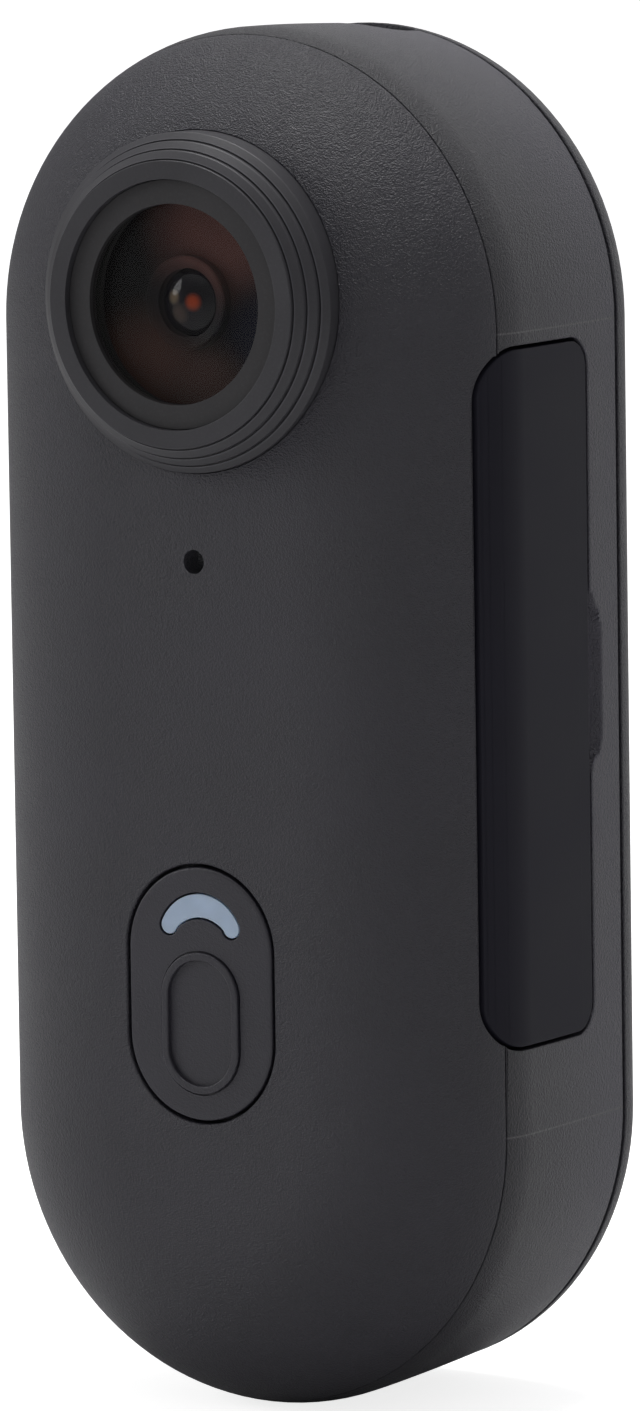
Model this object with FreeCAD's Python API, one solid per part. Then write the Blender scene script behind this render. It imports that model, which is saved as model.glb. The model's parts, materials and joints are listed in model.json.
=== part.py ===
import FreeCAD, Part
import math
import os

# Mini action camera: a pill-shaped body that stands upright.
# Millimetres. X is to the right of someone facing the lens, the lens looks
# along -Y and Z is up. The origin is the centre of the flat magnetic back.

# Body outline, seen from the front
body_width = 27.0
body_height = 63.4
end_radius = body_width / 2
end_centre_z = body_height / 2 - end_radius
body_top_z = body_height / 2
body_bottom_z = -body_height / 2

# Body section, front to back
body_depth = 17.45
front_y = -body_depth
wall = 1.2
face_rounding_width = 8.55
face_rounding_depth = 6.7
side_radius = 5.5
rear_edge_inset = 0.3
rear_edge_half_width = body_width / 2 - rear_edge_inset
widest_y = front_y + face_rounding_depth
shell_depth = 4.9
split_y = front_y + shell_depth
split_gap = 0.06
cover_depth = 2.11
cover_gap = 0.22
cover_edge_radius = 2.0
cover_wall = 1.2
cover_rim_depth = 1.1
cover_rim_wall = 0.85
cover_rim_gap = 0.1
frame_rear_y = -cover_depth - cover_gap

# Tongue and seal between the front shell and the middle frame
tongue_inset = 0.65
tongue_length = 0.9
tongue_gap = 0.05
seal_thickness = 0.25
ledge_depth = 0.8
gasket_thickness = 0.3
part_gap = 0.05
hole_gap = 0.15

# Lens window and its stepped collar
lens_top_margin = 12.1
lens_z = body_top_z - lens_top_margin
collar_height = 1.65
collar_top_y = front_y - collar_height
collar_step_height = 0.47
collar_step_width = 0.3834
collar_steps = 3
collar_rim = 0.8
collar_fit_gap = 0.05
collar_set_depth = 2.35
collar_seat_y = front_y + collar_set_depth
bezel_radius = 5.7
bezel_width = 1.1
bezel_recess = 0.4
bezel_thickness = 0.45
window_gap = 0.2
window_thickness = 0.8
window_gasket_thickness = 0.35
window_gasket_width = 0.65
lens_tube_wall = 1.0
lens_tube_length = 2.1
lens_tube_shoulder = 0.7
collar_flare_width = 0.45
collar_flare_rise = 0.1
collar_flare_depth = 1.2
collar_bore = bezel_radius + part_gap
collar_top_radius = collar_bore + collar_rim
collar_radius = collar_top_radius + collar_steps * collar_step_width
window_radius = bezel_radius - window_gap
window_shelf_radius = window_radius - window_gasket_width
bezel_front_y = collar_top_y + bezel_recess
window_front_y = bezel_front_y + bezel_thickness
window_rear_y = window_front_y + window_thickness
window_shelf_y = window_rear_y + window_gasket_thickness
lens_tube_end_y = collar_seat_y + lens_tube_length

# Lens barrel, its glass and the sensor behind it
barrel_radius = 3.6
barrel_window_gap = 0.55
barrel_front_y = window_rear_y + barrel_window_gap
barrel_length = 5.5
barrel_rear_y = barrel_front_y + barrel_length
barrel_lip = 0.45
barrel_shoulder = 1.2
barrel_rear_wall = 0.5
glass_radius = 2.0
glass_gap = 0.03
aperture_radius = 1.3
front_glass_thickness = 0.75
inner_glass_thickness = 0.7
glass_dome_height = 0.35
glass_back_hollow = 0.15
front_glass_set = 0.1
window_back_gap = 0.15
spacer_thickness = 0.35
baffle_clearance = 0.35
baffle_skin = 0.4
baffle_lip = 0.3
holder_neck_wall = 0.97
holder_neck_length = 3.2
holder_base_gap = 0.2
holder_base_front_y = barrel_rear_y + holder_base_gap
holder_base_thickness = 2.0
holder_base_width = 11.0
holder_ear_margin = 1.05
holder_ear_height = 3.4
holder_screw_x = 8.25
holder_post_radius = 1.2
holder_post_depth = 2.8
holder_screw_grip = 2.0
holder_window_lip = 0.5
sensor_width = 6.5
sensor_height = 5.4
sensor_thickness = 1.0
filter_width = 6.0
filter_height = 5.0
filter_thickness = 0.3
filter_sensor_gap = 0.1
sensor_board_width = 10.6
board_thickness = 0.8

# Oval shutter button with its crescent light window
button_width = 7.9
button_height = 11.76
button_bottom_margin = 19.83
button_z = body_bottom_z + button_bottom_margin
button_gap = 0.15
button_travel = 0.3
button_flange_width = 0.55
button_flange_thickness = 0.5
button_rest_gap = 0.05
dish_width = 4.33
dish_height = 6.63
dish_drop = 1.33
dish_z = button_z - dish_drop
dish_rim_width = 0.44
dish_rim_height = 0.1
dish_depth = 0.1
stem_radius = 1.0
switch_width = 3.4
switch_height = 1.4
switch_bottom_gap = 0.1
plunger_radius = 0.8
plunger_stand = 0.55
plunger_depth = 0.2
light_guide_radius = 0.5
light_guide_rise = 4.02
light_guide_z = button_z + light_guide_rise
button_well_wall = 0.5
button_well_gap = 0.25
button_well_depth = 1.35
button_gasket_thickness = 0.5
led_width = 1.6
led_height = 0.8
led_thickness = 0.6
led_gap = 0.5

# Crescent light window: heights above the button's centre, then half widths
crescent_top = 4.59
crescent_inner_top = 3.52
crescent_shoulder = 3.25
crescent_foot = 2.87
crescent_low = 2.67
crescent_half_width = 2.17
crescent_tip_half_width = 1.98
crescent_inner_half_width = 1.5
crescent_gap = 0.02

# Microphone
mic_drop = 11.74
mic_z = lens_z - mic_drop
mic_hole_radius = 0.54
mic_boot_radius = 1.5
mic_boot_bore = 0.7
mic_mesh_radius = 1.2
mic_mesh_thickness = 0.15
mic_height = 1.0
mic_width = 3.5
mic_length = 2.6

# Side door, its opening and its hinge
door_top_margin = 0.75
door_bottom_margin = 4.05
door_top_z = end_centre_z - door_top_margin
door_bottom_z = -end_centre_z + door_bottom_margin
door_gap = 0.15
opening_front_depth = 3.74
opening_front_y = front_y + opening_front_depth
opening_rear_margin = 2.67
opening_rear_y = frame_rear_y - opening_rear_margin
opening_front_radius = 2.33
opening_rear_radius = 1.5
door_thickness = 1.5
door_inner_x = body_width / 2 - door_thickness
door_seal_thickness = 0.5
door_seal_gap = 0.1
pocket_floor_x = door_inner_x - door_seal_thickness - door_seal_gap
pocket_floor_wall = 0.9
pocket_side_wall = 0.8
hinge_tilt_deg = 25.0
hinge_depth = 0.6
hinge_pin_radius = 0.2
hinge_pin_length = 2.6
hinge_pin_fit = 0.03
hinge_ear_radius = 0.38
hinge_ear_gap = 0.08
hinge_ear_start = 0.45
hinge_ear_root = 0.8
hinge_zone_gap = 0.12
hinge_sweep_radius = 0.86
hinge_sweep_top = 0.2
door_seal_margin = 1.6
door_seal_width = 0.9
door_seal_front_gap = 0.2
door_seal_rear_gap = 0.5
nail_notch_depth = 1.4
nail_notch_rise = 0.05
nail_notch_length = 8.6
nail_notch_floor_length = 5.6
nail_notch_cut = 0.9
nail_notch_overlap = 0.1

# Main board and its bosses
board_set = 7.75
board_front_y = front_y + board_set
board_rear_y = board_front_y + board_thickness
board_side_margin = 3.6
board_width = body_width - 2 * board_side_margin
board_lens_gap = 9.2
board_top_z = lens_z - board_lens_gap
board_bottom_margin = 7.2
board_bottom_z = body_bottom_z + board_bottom_margin
board_corner_radius = 4.0
boss_radius = 1.3
boss_side_margin = 1.65
boss_top_margin = 1.4
boss_bottom_margin = 2.1
boss_corner_margin = 2.5
top_boss_x = board_width / 2 - boss_side_margin
low_boss_x = board_width / 2 - boss_corner_margin
board_boss_places = [(side * top_boss_x, board_top_z - boss_top_margin) for side in (-1, 1)]
board_boss_places += [(side * low_boss_x, board_bottom_z + boss_bottom_margin) for side in (-1, 1)]
screw_radius = 0.5
screw_hole_gap = 0.1
screw_head_radius = 1.0
screw_head_height = 0.5
screw_grip = 3.2
screw_tip_gap = 0.2
screw_slot_length = 1.2
screw_slot_width = 0.2

# Screws that join the front shell to the middle frame
case_boss_inset = 3.24
case_boss_angle = math.radians(52.1)
case_boss_reach = end_radius - case_boss_inset
case_boss_x = case_boss_reach * math.cos(case_boss_angle)
case_boss_z = end_centre_z + case_boss_reach * math.sin(case_boss_angle)
case_boss_places = [(sx * case_boss_x, sz * case_boss_z) for sx in (-1, 1) for sz in (-1, 1)]
case_ear_thickness = 1.0
case_screw_grip = 1.4
case_ear_gap = 0.02
case_ear_y = split_y + split_gap + case_ear_gap

# Sockets behind the side door
usb_top_margin = 15.55
usb_z = door_top_z - usb_top_margin
usb_width = 8.94
usb_height = 3.2
usb_length = 7.3
usb_wall = 0.3
usb_tongue_width = 6.6
usb_tongue_thickness = 0.7
usb_tongue_set = 0.9
usb_back_wall = 1.0
usb_fit_gap = 0.05
usb_centre_y = board_front_y - usb_height / 2
card_drop = 6.5
card_z = usb_z - card_drop
card_slot_width = 12.0
card_slot_height = 1.4
card_slot_length = 14.4
card_slot_wall = 0.25
card_rear_y = board_rear_y + card_slot_height
socket_set = 0.35
socket_mouth_x = pocket_floor_x - socket_set
mouth_gap = 0.1

# Magnets and their plate behind the rear cover
magnet_radius = 3.5
magnet_thickness = 1.2
magnet_pocket_depth = 0.5
magnet_side_margin = 3.8
magnet_top_margin = 1.2
magnet_bottom_margin = 3.7
magnet_x = body_width / 2 - magnet_radius - magnet_side_margin
magnet_heights = (end_centre_z - magnet_top_margin, -end_centre_z + magnet_bottom_margin)
magnet_places = [(side * magnet_x, z) for side in (-1, 1) for z in magnet_heights]
magnet_rear_y = -cover_wall + magnet_pocket_depth
magnet_front_y = magnet_rear_y - magnet_thickness
keeper_thickness = 0.3
keeper_end_margin = 1.0
keeper_front_y = magnet_front_y - keeper_thickness

# Chassis, battery and motor
chassis_card_gap = 0.4
chassis_front_y = card_rear_y + chassis_card_gap
chassis_thickness = 0.5
chassis_rear_y = chassis_front_y + chassis_thickness
chassis_inset = 2.0
chassis_pocket_gap = 0.3
tray_wall = 0.6
tray_gap = 0.1
battery_side_margin = 4.2
battery_width = body_width - 2 * battery_side_margin
battery_bottom_margin = 11.2
battery_bottom_z = body_bottom_z + battery_bottom_margin
battery_lens_gap = 15.0
battery_top_z = lens_z - battery_lens_gap
battery_edge_radius = 0.8
tape_thickness = 0.2
battery_front_y = chassis_rear_y + tape_thickness
battery_keeper_gap = 0.8
battery_rear_y = keeper_front_y - battery_keeper_gap
tape_margin_x = 1.0
tape_margin_z = 2.0
circuit_width = 16.0
circuit_length = 1.8
circuit_thickness = 1.0
circuit_gap = 0.2
circuit_z = battery_top_z + circuit_gap + circuit_length / 2
tray_half_width = battery_width / 2 + tray_gap + tray_wall
tray_bottom_z = battery_bottom_z - tray_gap - tray_wall
tray_top_z = circuit_z + circuit_length / 2 + circuit_gap + tray_wall
lead_radius = 0.35
lead_spread = 0.9
plug_window_width = 4.4
plug_window_height = 2.0
motor_radius = 4.0
motor_thickness = 2.4
antenna_thickness = 0.15
antenna_margin = 0.3
antenna_length = 19.0
antenna_low_gap = 7.1
antenna_low_z = tray_bottom_z + antenna_low_gap

# Strap recess in the top of the frame
recess_half_width = 2.8
recess_length = 2.32
recess_front_y = frame_rear_y - recess_length
recess_corner_radius = 1.2
recess_depth = 3.0
recess_wall = 0.8
strap_bar_radius = 0.5
strap_bar_drop = 1.3
strap_bar_set = 0.6
strap_bar_y = (recess_front_y + frame_rear_y) / 2
strap_bar_z = body_top_z - strap_bar_drop

# Chips on the board's front: width, height, thickness, centre x and how far
# the centre lies above the board's bottom edge
processor_size = 8.0
processor_thickness = 1.0
processor_x = -4.9
processor_rise = 25.7
heat_pad_margin = 0.75
heat_pad_thickness = 0.6
heat_plate_overhang = 0.4
heat_plate_thickness = 0.4
memory_chip_layout = ((7.0, 5.6, 0.9, 0.0, 3.9),)
motion_sensor_layout = ((3.0, 2.5, 0.85, -5.6, 4.9),)
power_chip_layout = ((3.0, 3.0, 0.8, 4.6, 17.3), (2.5, 2.0, 1.2, 4.6, 13.7),
                     (2.5, 2.0, 1.2, 4.6, 10.7), (2.0, 2.0, 0.7, 8.0, 16.5),
                     (1.6, 0.8, 0.8, 8.0, 13.5), (1.6, 0.8, 0.8, 8.0, 11.9),
                     (1.6, 0.8, 0.8, 8.0, 10.3), (3.2, 1.5, 1.0, 7.0, 7.5))
can_x = -5.9
can_rise = 12.5
can_width = 7.0
can_height = 10.5
can_depth = 1.3
can_wall = 0.2
wifi_chip_width = 5.0
wifi_chip_height = 6.0
wifi_chip_thickness = 0.85

# Flexible print and the plugs on the board's rear
flex_thickness = 0.15
flex_width = 5.0
flex_overlap = 2.4
plug_rim = 0.4
plug_top_margin = 1.0
battery_plug_x = -6.0
battery_plug_width = 4.0
battery_plug_height = 2.4
battery_plug_depth = 0.9

# How far a cutter runs past the face that it cuts, and the size of cutting boxes
past = 1.0
reach = 50.0


def vec(x, y, z):
    return FreeCAD.Vector(x, y, z)


def box(x0, x1, y0, y1, z0, z1):
    return Part.makeBox(x1 - x0, y1 - y0, z1 - z0, vec(x0, y0, z0))


def rod_y(x, z, radius, y0, y1):
    return Part.makeCylinder(radius, y1 - y0, vec(x, y0, z), vec(0, 1, 0))


def rod_z(x, y, radius, z0, z1):
    return Part.makeCylinder(radius, z1 - z0, vec(x, y, z0), vec(0, 0, 1))


def arc(start, middle, end):
    return Part.Arc(start, middle, end).toShape()


def line(start, end):
    return Part.LineSegment(start, end).toShape()


def pill(width, height, x, z, y0, y1):
    """An upright stadium in the XZ plane, from y0 back to y1."""
    radius = width / 2
    rise = height / 2 - radius
    corners = [vec(x + sx * radius, y0, z + sz * rise)
               for sx, sz in ((-1, -1), (-1, 1), (1, 1), (1, -1))]
    top = vec(x, y0, z + height / 2)
    bottom = vec(x, y0, z - height / 2)
    edges = [line(corners[0], corners[1]), arc(corners[1], top, corners[2]),
             line(corners[2], corners[3]), arc(corners[3], bottom, corners[0])]
    return Part.Face(Part.Wire(edges)).extrude(vec(0, y1 - y0, 0))


def turned(profile):
    """A solid of revolution about the lens axis, from (radius, y) corners."""
    points = [vec(radius, y, lens_z) for radius, y in profile]
    face = Part.Face(Part.makePolygon(points + points[:1]))
    return face.revolve(vec(0, 0, lens_z), vec(0, 1, 0), 360)


def ring(outer, inner, y0, y1):
    return turned([(inner, y0), (outer, y0), (outer, y1), (inner, y1)])


def join(shapes):
    return shapes[0].fuse(shapes[1:]).removeSplitter()


def save(name, shape):
    for solid in shape.Solids:
        if not solid.isValid() or solid.Volume <= 0:
            print("check the solid of", name)
    shape.exportStep("parts/" + name + ".step")
    print(name, len(shape.Solids), round(shape.Volume, 2))


# Circles and tangents that shape the body's section.
flat_half_width = body_width / 2 - face_rounding_width
side_centre_x = body_width / 2 - side_radius
arc_width = face_rounding_width - side_radius
arc_depth = face_rounding_depth - side_radius
face_radius = (arc_width ** 2 + face_rounding_depth ** 2 - side_radius ** 2) / (2 * arc_depth)
face_centre_y = front_y + face_radius
join_angle = math.atan2(face_centre_y - widest_y, arc_width)


def taper_angle():
    """How far the rear half of the side leans in, in radians."""
    dx = rear_edge_half_width - side_centre_x
    dy = frame_rear_y - widest_y
    return math.atan2(dy, dx) - math.acos(side_radius / math.hypot(dx, dy))


def half_section(inset):
    """The right half of the body's section in the XY plane, drawn in by inset."""
    lean = taper_angle()
    side = side_radius - inset
    face = face_radius - inset
    flat = flat_half_width

    def on_side(angle):
        return vec(side_centre_x + side * math.cos(angle), widest_y + side * math.sin(angle), 0)

    def on_face(angle):
        return vec(flat + face * math.cos(angle), face_centre_y + face * math.sin(angle), 0)

    middle = vec(0, front_y + inset, 0)
    flat_end = vec(flat, front_y + inset, 0)
    joint = on_side(-join_angle)
    side_mid = on_side((lean - join_angle) / 2)
    side_end = on_side(lean)
    face_mid = on_face((-math.pi / 2 - join_angle) / 2)
    run = -side_end.y / math.cos(lean)
    rear = vec(side_end.x - run * math.sin(lean), 0, 0)
    back = vec(0, 0, 0)
    edges = [line(middle, flat_end), arc(flat_end, face_mid, joint), arc(joint, side_mid, side_end),
             line(side_end, rear), line(rear, back), line(back, middle)]
    return Part.Face(Part.Wire(edges))


def sweep_body(section):
    """Carries a right-half section along the sides and round both ends."""
    straight = section.copy()
    straight.translate(vec(0, 0, -end_centre_z))
    right = straight.extrude(vec(0, 0, 2 * end_centre_z))
    left = right.mirror(vec(0, 0, 0), vec(1, 0, 0))
    caps = []
    for sign in (1, -1):
        end = section.copy()
        end.translate(vec(0, 0, sign * end_centre_z))
        caps.append(end.revolve(vec(0, 0, sign * end_centre_z), vec(0, 1, 0), -sign * 180))
    return join([right, left] + caps)


def body_blank(inset):
    return sweep_body(half_section(inset))


def between(shape, y0, y1):
    return shape.common(box(-reach, reach, y0, y1, -reach, reach))


full_body = body_blank(0)
inner_body = body_blank(wall)
trim_body = body_blank(wall / 2)


# Side opening, door and hinge line.
opening_bottom_z = door_bottom_z - door_gap
opening_top_z = door_top_z + door_gap
opening_centre_z = (opening_bottom_z + opening_top_z) / 2
hinge_tilt = math.radians(hinge_tilt_deg)
hinge_x = side_centre_x + (side_radius - hinge_depth) * math.cos(hinge_tilt)
hinge_y = widest_y - (side_radius - hinge_depth) * math.sin(hinge_tilt)
ear_end_z = opening_top_z - opening_front_radius + hinge_ear_start


def side_outline(shrink, x0, x1):
    """The door opening's rounded outline, drawn in by shrink, from x0 out to x1."""
    y0 = opening_front_y + shrink
    y1 = opening_rear_y - shrink
    z0 = opening_bottom_z + shrink
    z1 = opening_top_z - shrink
    front = opening_front_radius - shrink
    rear = opening_rear_radius - shrink
    turn = 1 - math.sqrt(0.5)

    def corner(y, z, sy, sz, radius, y_first):
        along_y = vec(x0, y + sy * radius, z)
        along_z = vec(x0, y, z + sz * radius)
        middle = vec(x0, y + sy * radius * turn, z + sz * radius * turn)
        first, last = (along_y, along_z) if y_first else (along_z, along_y)
        return first, middle, last

    corners = [corner(y0, z0, 1, 1, front, True), corner(y0, z1, 1, -1, front, False),
               corner(y1, z1, -1, -1, rear, True), corner(y1, z0, -1, 1, rear, False)]
    edges = []
    for index, (first, middle, last) in enumerate(corners):
        edges.append(arc(first, middle, last))
        edges.append(line(last, corners[(index + 1) % 4][0]))
    return Part.Face(Part.Wire(edges)).extrude(vec(x1 - x0, 0, 0))


def both_ends(shape):
    """A shape at the door's top end, and its mirror image at the bottom end."""
    return [shape, shape.mirror(vec(0, 0, opening_centre_z), vec(0, 0, 1))]


def make_front_shell():
    shell = between(full_body, front_y, split_y).cut(inner_body)
    tube_radius = collar_radius + collar_fit_gap + lens_tube_wall
    posts = [rod_y(0, lens_z, tube_radius, front_y, lens_tube_end_y)]
    flare_radius = collar_radius + collar_flare_width
    flare = turned([(collar_radius, front_y - collar_flare_rise),
                    (collar_radius + collar_flare_width / 2, front_y - collar_flare_rise),
                    (flare_radius, front_y + collar_flare_width),
                    (flare_radius, front_y + collar_flare_depth),
                    (collar_radius, front_y + collar_flare_depth)])
    for x, z in board_boss_places:
        posts.append(rod_y(x, z, boss_radius, front_y, board_front_y))
    for x, z in case_boss_places:
        posts.append(rod_y(x, z, boss_radius, front_y, split_y + split_gap))
    for side in (-1, 1):
        posts.append(rod_y(side * holder_screw_x, lens_z, holder_post_radius,
                           holder_base_front_y - holder_post_depth, holder_base_front_y))
    outer = 2 * (button_gap + button_flange_width + button_well_gap + button_well_wall)
    posts.append(pill(button_width + outer, button_height + outer, 0, button_z, front_y,
                      front_y + wall + button_well_depth))
    shell = join([shell, flare] + [post.common(trim_body) for post in posts])
    inner = outer - 2 * button_well_wall
    rabbet = body_blank(tongue_inset - tongue_gap).cut(body_blank(wall + tongue_gap))
    rabbet_y = split_y - tongue_length - seal_thickness - tongue_gap
    cuts = [between(rabbet, rabbet_y, split_y + past),
            rod_y(0, lens_z, collar_radius + collar_fit_gap, front_y - past, collar_seat_y),
            rod_y(0, lens_z, collar_radius - lens_tube_shoulder, front_y, lens_tube_end_y + past),
            rod_y(0, mic_z, mic_hole_radius, front_y - past, front_y + wall + past),
            pill(button_width + 2 * button_gap, button_height + 2 * button_gap, 0, button_z,
                 front_y - past, front_y + wall + past),
            pill(button_width + inner, button_height + inner, 0, button_z, front_y + wall,
                 front_y + wall + button_well_depth + past)]
    for x, z in board_boss_places:
        cuts.append(rod_y(x, z, screw_radius, board_front_y - screw_grip - screw_tip_gap,
                          board_front_y))
    for x, z in case_boss_places:
        cuts.append(rod_y(x, z, screw_radius, split_y - case_screw_grip - screw_tip_gap,
                          split_y + past))
    for side in (-1, 1):
        cuts.append(rod_y(side * holder_screw_x, lens_z, screw_radius,
                          holder_base_front_y - holder_screw_grip - screw_tip_gap,
                          holder_base_front_y))
    cuts.append(side_outline(0, pocket_floor_x - pocket_floor_wall - past, end_radius + past))
    for shape in cuts:
        shell = shell.cut(shape)
    for shape in both_ends(hinge_sweep()):
        shell = shell.cut(shape)
    ear = rod_z(hinge_x, hinge_y, hinge_ear_radius, ear_end_z, opening_top_z + hinge_ear_root)
    ears = [part.common(between(full_body, front_y, split_y)) for part in both_ends(ear)]
    shell = join([shell] + ears)
    bore = rod_z(hinge_x, hinge_y, hinge_pin_radius, ear_end_z - past,
                 ear_end_z + hinge_pin_length / 2)
    for shape in both_ends(bore):
        shell = shell.cut(shape)
    return largest(shell)


def hinge_sweep():
    """Room at the door's front corner for its edge to swing through."""
    return rod_z(hinge_x, hinge_y, hinge_sweep_radius, opening_top_z - opening_front_radius,
                 opening_top_z - hinge_sweep_top)


def make_middle_frame():
    zone = between(full_body, split_y + split_gap, frame_rear_y)
    frame = zone.cut(inner_body)
    tongue = between(body_blank(tongue_inset), split_y - tongue_length, split_y + split_gap + wall)
    tongue = tongue.cut(inner_body)
    ledge_rear_y = frame_rear_y - cover_rim_depth - gasket_thickness
    ledge = between(inner_body, ledge_rear_y - ledge_depth, ledge_rear_y)
    ledge = ledge.cut(body_blank(wall + cover_rim_gap + cover_rim_wall))
    pocket_inner_x = pocket_floor_x - pocket_floor_wall
    pocket = box(pocket_inner_x, reach, opening_front_y, opening_rear_y + pocket_side_wall,
                 opening_bottom_z - pocket_side_wall, opening_top_z + pocket_side_wall)
    front_part = between(body_blank(wall + tongue_gap), opening_front_y, split_y + split_gap)
    pocket = pocket.common(join([zone, front_part]))
    recess = box(-recess_half_width - recess_wall, recess_half_width + recess_wall,
                 recess_front_y - recess_wall, frame_rear_y,
                 body_top_z - recess_depth - recess_wall, reach)
    recess = recess.common(zone)
    frame = join([frame, tongue, ledge, pocket, recess])
    ears = []
    for x, z in case_boss_places:
        ear = rod_y(x, z, boss_radius, case_ear_y, case_ear_y + case_ear_thickness)
        ears.append(ear.common(zone))
    frame = join([frame] + ears)
    cuts = [side_outline(0, pocket_floor_x, reach), strap_recess(), nail_notch()]
    room = rod_z(hinge_x, hinge_y, hinge_ear_radius + tongue_gap, ear_end_z,
                 opening_top_z + hinge_ear_root + tongue_gap)
    cuts += both_ends(room) + both_ends(hinge_sweep())
    cuts.append(sideways_pill(usb_height + 2 * mouth_gap, usb_width + 2 * mouth_gap, usb_centre_y,
                              usb_z, pocket_inner_x - past, pocket_floor_x + past))
    cuts.append(box(pocket_inner_x - past, pocket_floor_x + past,
                    card_rear_y - card_slot_height - mouth_gap, card_rear_y + mouth_gap,
                    card_z - card_slot_width / 2 - mouth_gap,
                    card_z + card_slot_width / 2 + mouth_gap))
    for x, z in case_boss_places:
        cuts.append(rod_y(x, z, screw_radius + screw_hole_gap, split_y,
                          case_ear_y + case_ear_thickness + past))
    bar_end = recess_half_width + strap_bar_set
    cuts.append(Part.makeCylinder(strap_bar_radius, 2 * bar_end, vec(-bar_end, strap_bar_y, strap_bar_z),
                                  vec(1, 0, 0)))
    for shape in cuts:
        frame = frame.cut(shape)
    return largest(frame)


def largest(shape):
    """Drops slivers that a cut leaves behind and keeps the piece itself."""
    return max(shape.Solids, key=lambda solid: solid.Volume)


def sideways_pill(thickness, length, y, z, x0, x1):
    """A slot that runs along X, with its long way upright."""
    rise = length / 2 - thickness / 2
    half = thickness / 2
    corners = [vec(x0, y + sy * half, z + sz * rise) for sy, sz in ((-1, -1), (-1, 1), (1, 1), (1, -1))]
    edges = [line(corners[0], corners[1]), arc(corners[1], vec(x0, y, z + length / 2), corners[2]),
             line(corners[2], corners[3]), arc(corners[3], vec(x0, y, z - length / 2), corners[0])]
    return Part.Face(Part.Wire(edges)).extrude(vec(x1 - x0, 0, 0))


def strap_recess():
    """The open-backed notch that a lanyard loop is threaded through."""
    radius = recess_corner_radius
    half = recess_half_width
    z = body_top_z - recess_depth
    turn = radius * (1 - math.sqrt(0.5))
    y0 = recess_front_y
    points = [vec(-half, 0, z), vec(-half, y0 + radius, z), vec(-half + radius, y0, z),
              vec(half - radius, y0, z), vec(half, y0 + radius, z), vec(half, 0, z)]
    left = vec(-half + turn, y0 + turn, z)
    right = vec(half - turn, y0 + turn, z)
    edges = [line(points[0], points[1]), arc(points[1], left, points[2]), line(points[2], points[3]),
             arc(points[3], right, points[4]), line(points[4], points[5]), line(points[5], points[0])]
    return Part.Face(Part.Wire(edges)).extrude(vec(0, 0, reach))


def nail_notch():
    """The scoop behind the door's rear edge that a finger nail goes into."""
    x = end_radius - nail_notch_cut
    y0 = opening_rear_y - nail_notch_overlap
    y1 = opening_rear_y + nail_notch_depth
    half = nail_notch_length / 2
    inner = nail_notch_floor_length / 2
    z = opening_centre_z + nail_notch_rise
    points = [vec(x, y0, z - half), vec(x, y1, z - inner), vec(x, y1, z + inner), vec(x, y0, z + half)]
    return Part.Face(Part.makePolygon(points + points[:1])).extrude(vec(nail_notch_cut + past, 0, 0))


def cover_section():
    half = rear_edge_half_width - math.tan(taper_angle()) * cover_gap
    radius = cover_edge_radius
    turn = radius * (1 - math.sqrt(0.5))
    points = [vec(0, -cover_depth, 0), vec(half, -cover_depth, 0), vec(half, -radius, 0),
              vec(half - radius, 0, 0), vec(0, 0, 0)]
    edges = [line(points[0], points[1]), line(points[1], points[2]),
             arc(points[2], vec(half - turn, -turn, 0), points[3]),
             line(points[3], points[4]), line(points[4], points[0])]
    return Part.Face(Part.Wire(edges))


def make_rear_cover():
    cover = sweep_body(cover_section())
    rim_outer = between(body_blank(wall + cover_rim_gap), frame_rear_y - cover_rim_depth, -cover_wall)
    hollow = between(body_blank(wall + cover_rim_gap + cover_rim_wall),
                     frame_rear_y - cover_rim_depth - past, -cover_wall)
    cover = join([cover, rim_outer]).cut(hollow)
    gap = recess_wall + cover_rim_gap
    cover = cover.cut(box(-recess_half_width - gap, recess_half_width + gap, -reach, -cover_depth,
                          body_top_z - recess_depth - gap, reach))
    for x, z in magnet_places:
        cover = cover.cut(rod_y(x, z, magnet_radius + part_gap, -cover_wall - past,
                                -cover_wall + magnet_pocket_depth))
    return largest(cover)


def make_rear_gasket():
    y1 = frame_rear_y - cover_rim_depth
    gasket = between(body_blank(wall + cover_rim_gap), y1 - gasket_thickness, y1)
    gasket = gasket.cut(body_blank(wall + cover_rim_gap + cover_rim_wall))
    gap = recess_wall + cover_rim_gap
    return gasket.cut(box(-recess_half_width - gap, recess_half_width + gap, -reach, 0,
                          body_top_z - recess_depth - gap, reach))


def make_case_seal():
    y1 = split_y - tongue_length
    seal = between(body_blank(tongue_inset), y1 - seal_thickness, y1)
    seal = seal.cut(body_blank(wall - tongue_gap))
    gap = 3 * door_gap
    return seal.cut(box(0, reach, -reach, 0, opening_bottom_z - gap, opening_top_z + gap))


def make_lens_collar():
    profile = [(collar_bore, collar_top_y), (collar_top_radius, collar_top_y)]
    for step in range(1, collar_steps + 1):
        radius = collar_top_radius + step * collar_step_width
        y = collar_top_y + step * collar_step_height
        profile.append((radius - collar_step_width, y))
        profile.append((radius, y))
    profile.append((collar_radius, collar_seat_y))
    profile.append((window_shelf_radius, collar_seat_y))
    profile.append((window_shelf_radius, window_shelf_y))
    profile.append((collar_bore, window_shelf_y))
    return turned(profile)


def make_lens_bezel():
    return ring(bezel_radius, bezel_radius - bezel_width, bezel_front_y, window_front_y)


def make_lens_window():
    return rod_y(0, lens_z, window_radius, window_front_y, window_rear_y)


def make_window_gasket():
    return ring(window_radius, window_shelf_radius, window_rear_y, window_shelf_y)


def make_lens_baffle():
    """The black cone between the window and the barrel."""
    outer = window_shelf_radius - part_gap
    inner = glass_radius + baffle_clearance
    front = window_rear_y + window_back_gap
    rear = barrel_front_y - part_gap
    return turned([(outer, front), (outer, collar_seat_y), (outer - baffle_skin, collar_seat_y),
                   (outer - baffle_skin, rear), (inner, rear), (inner, rear - baffle_lip)])


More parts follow.
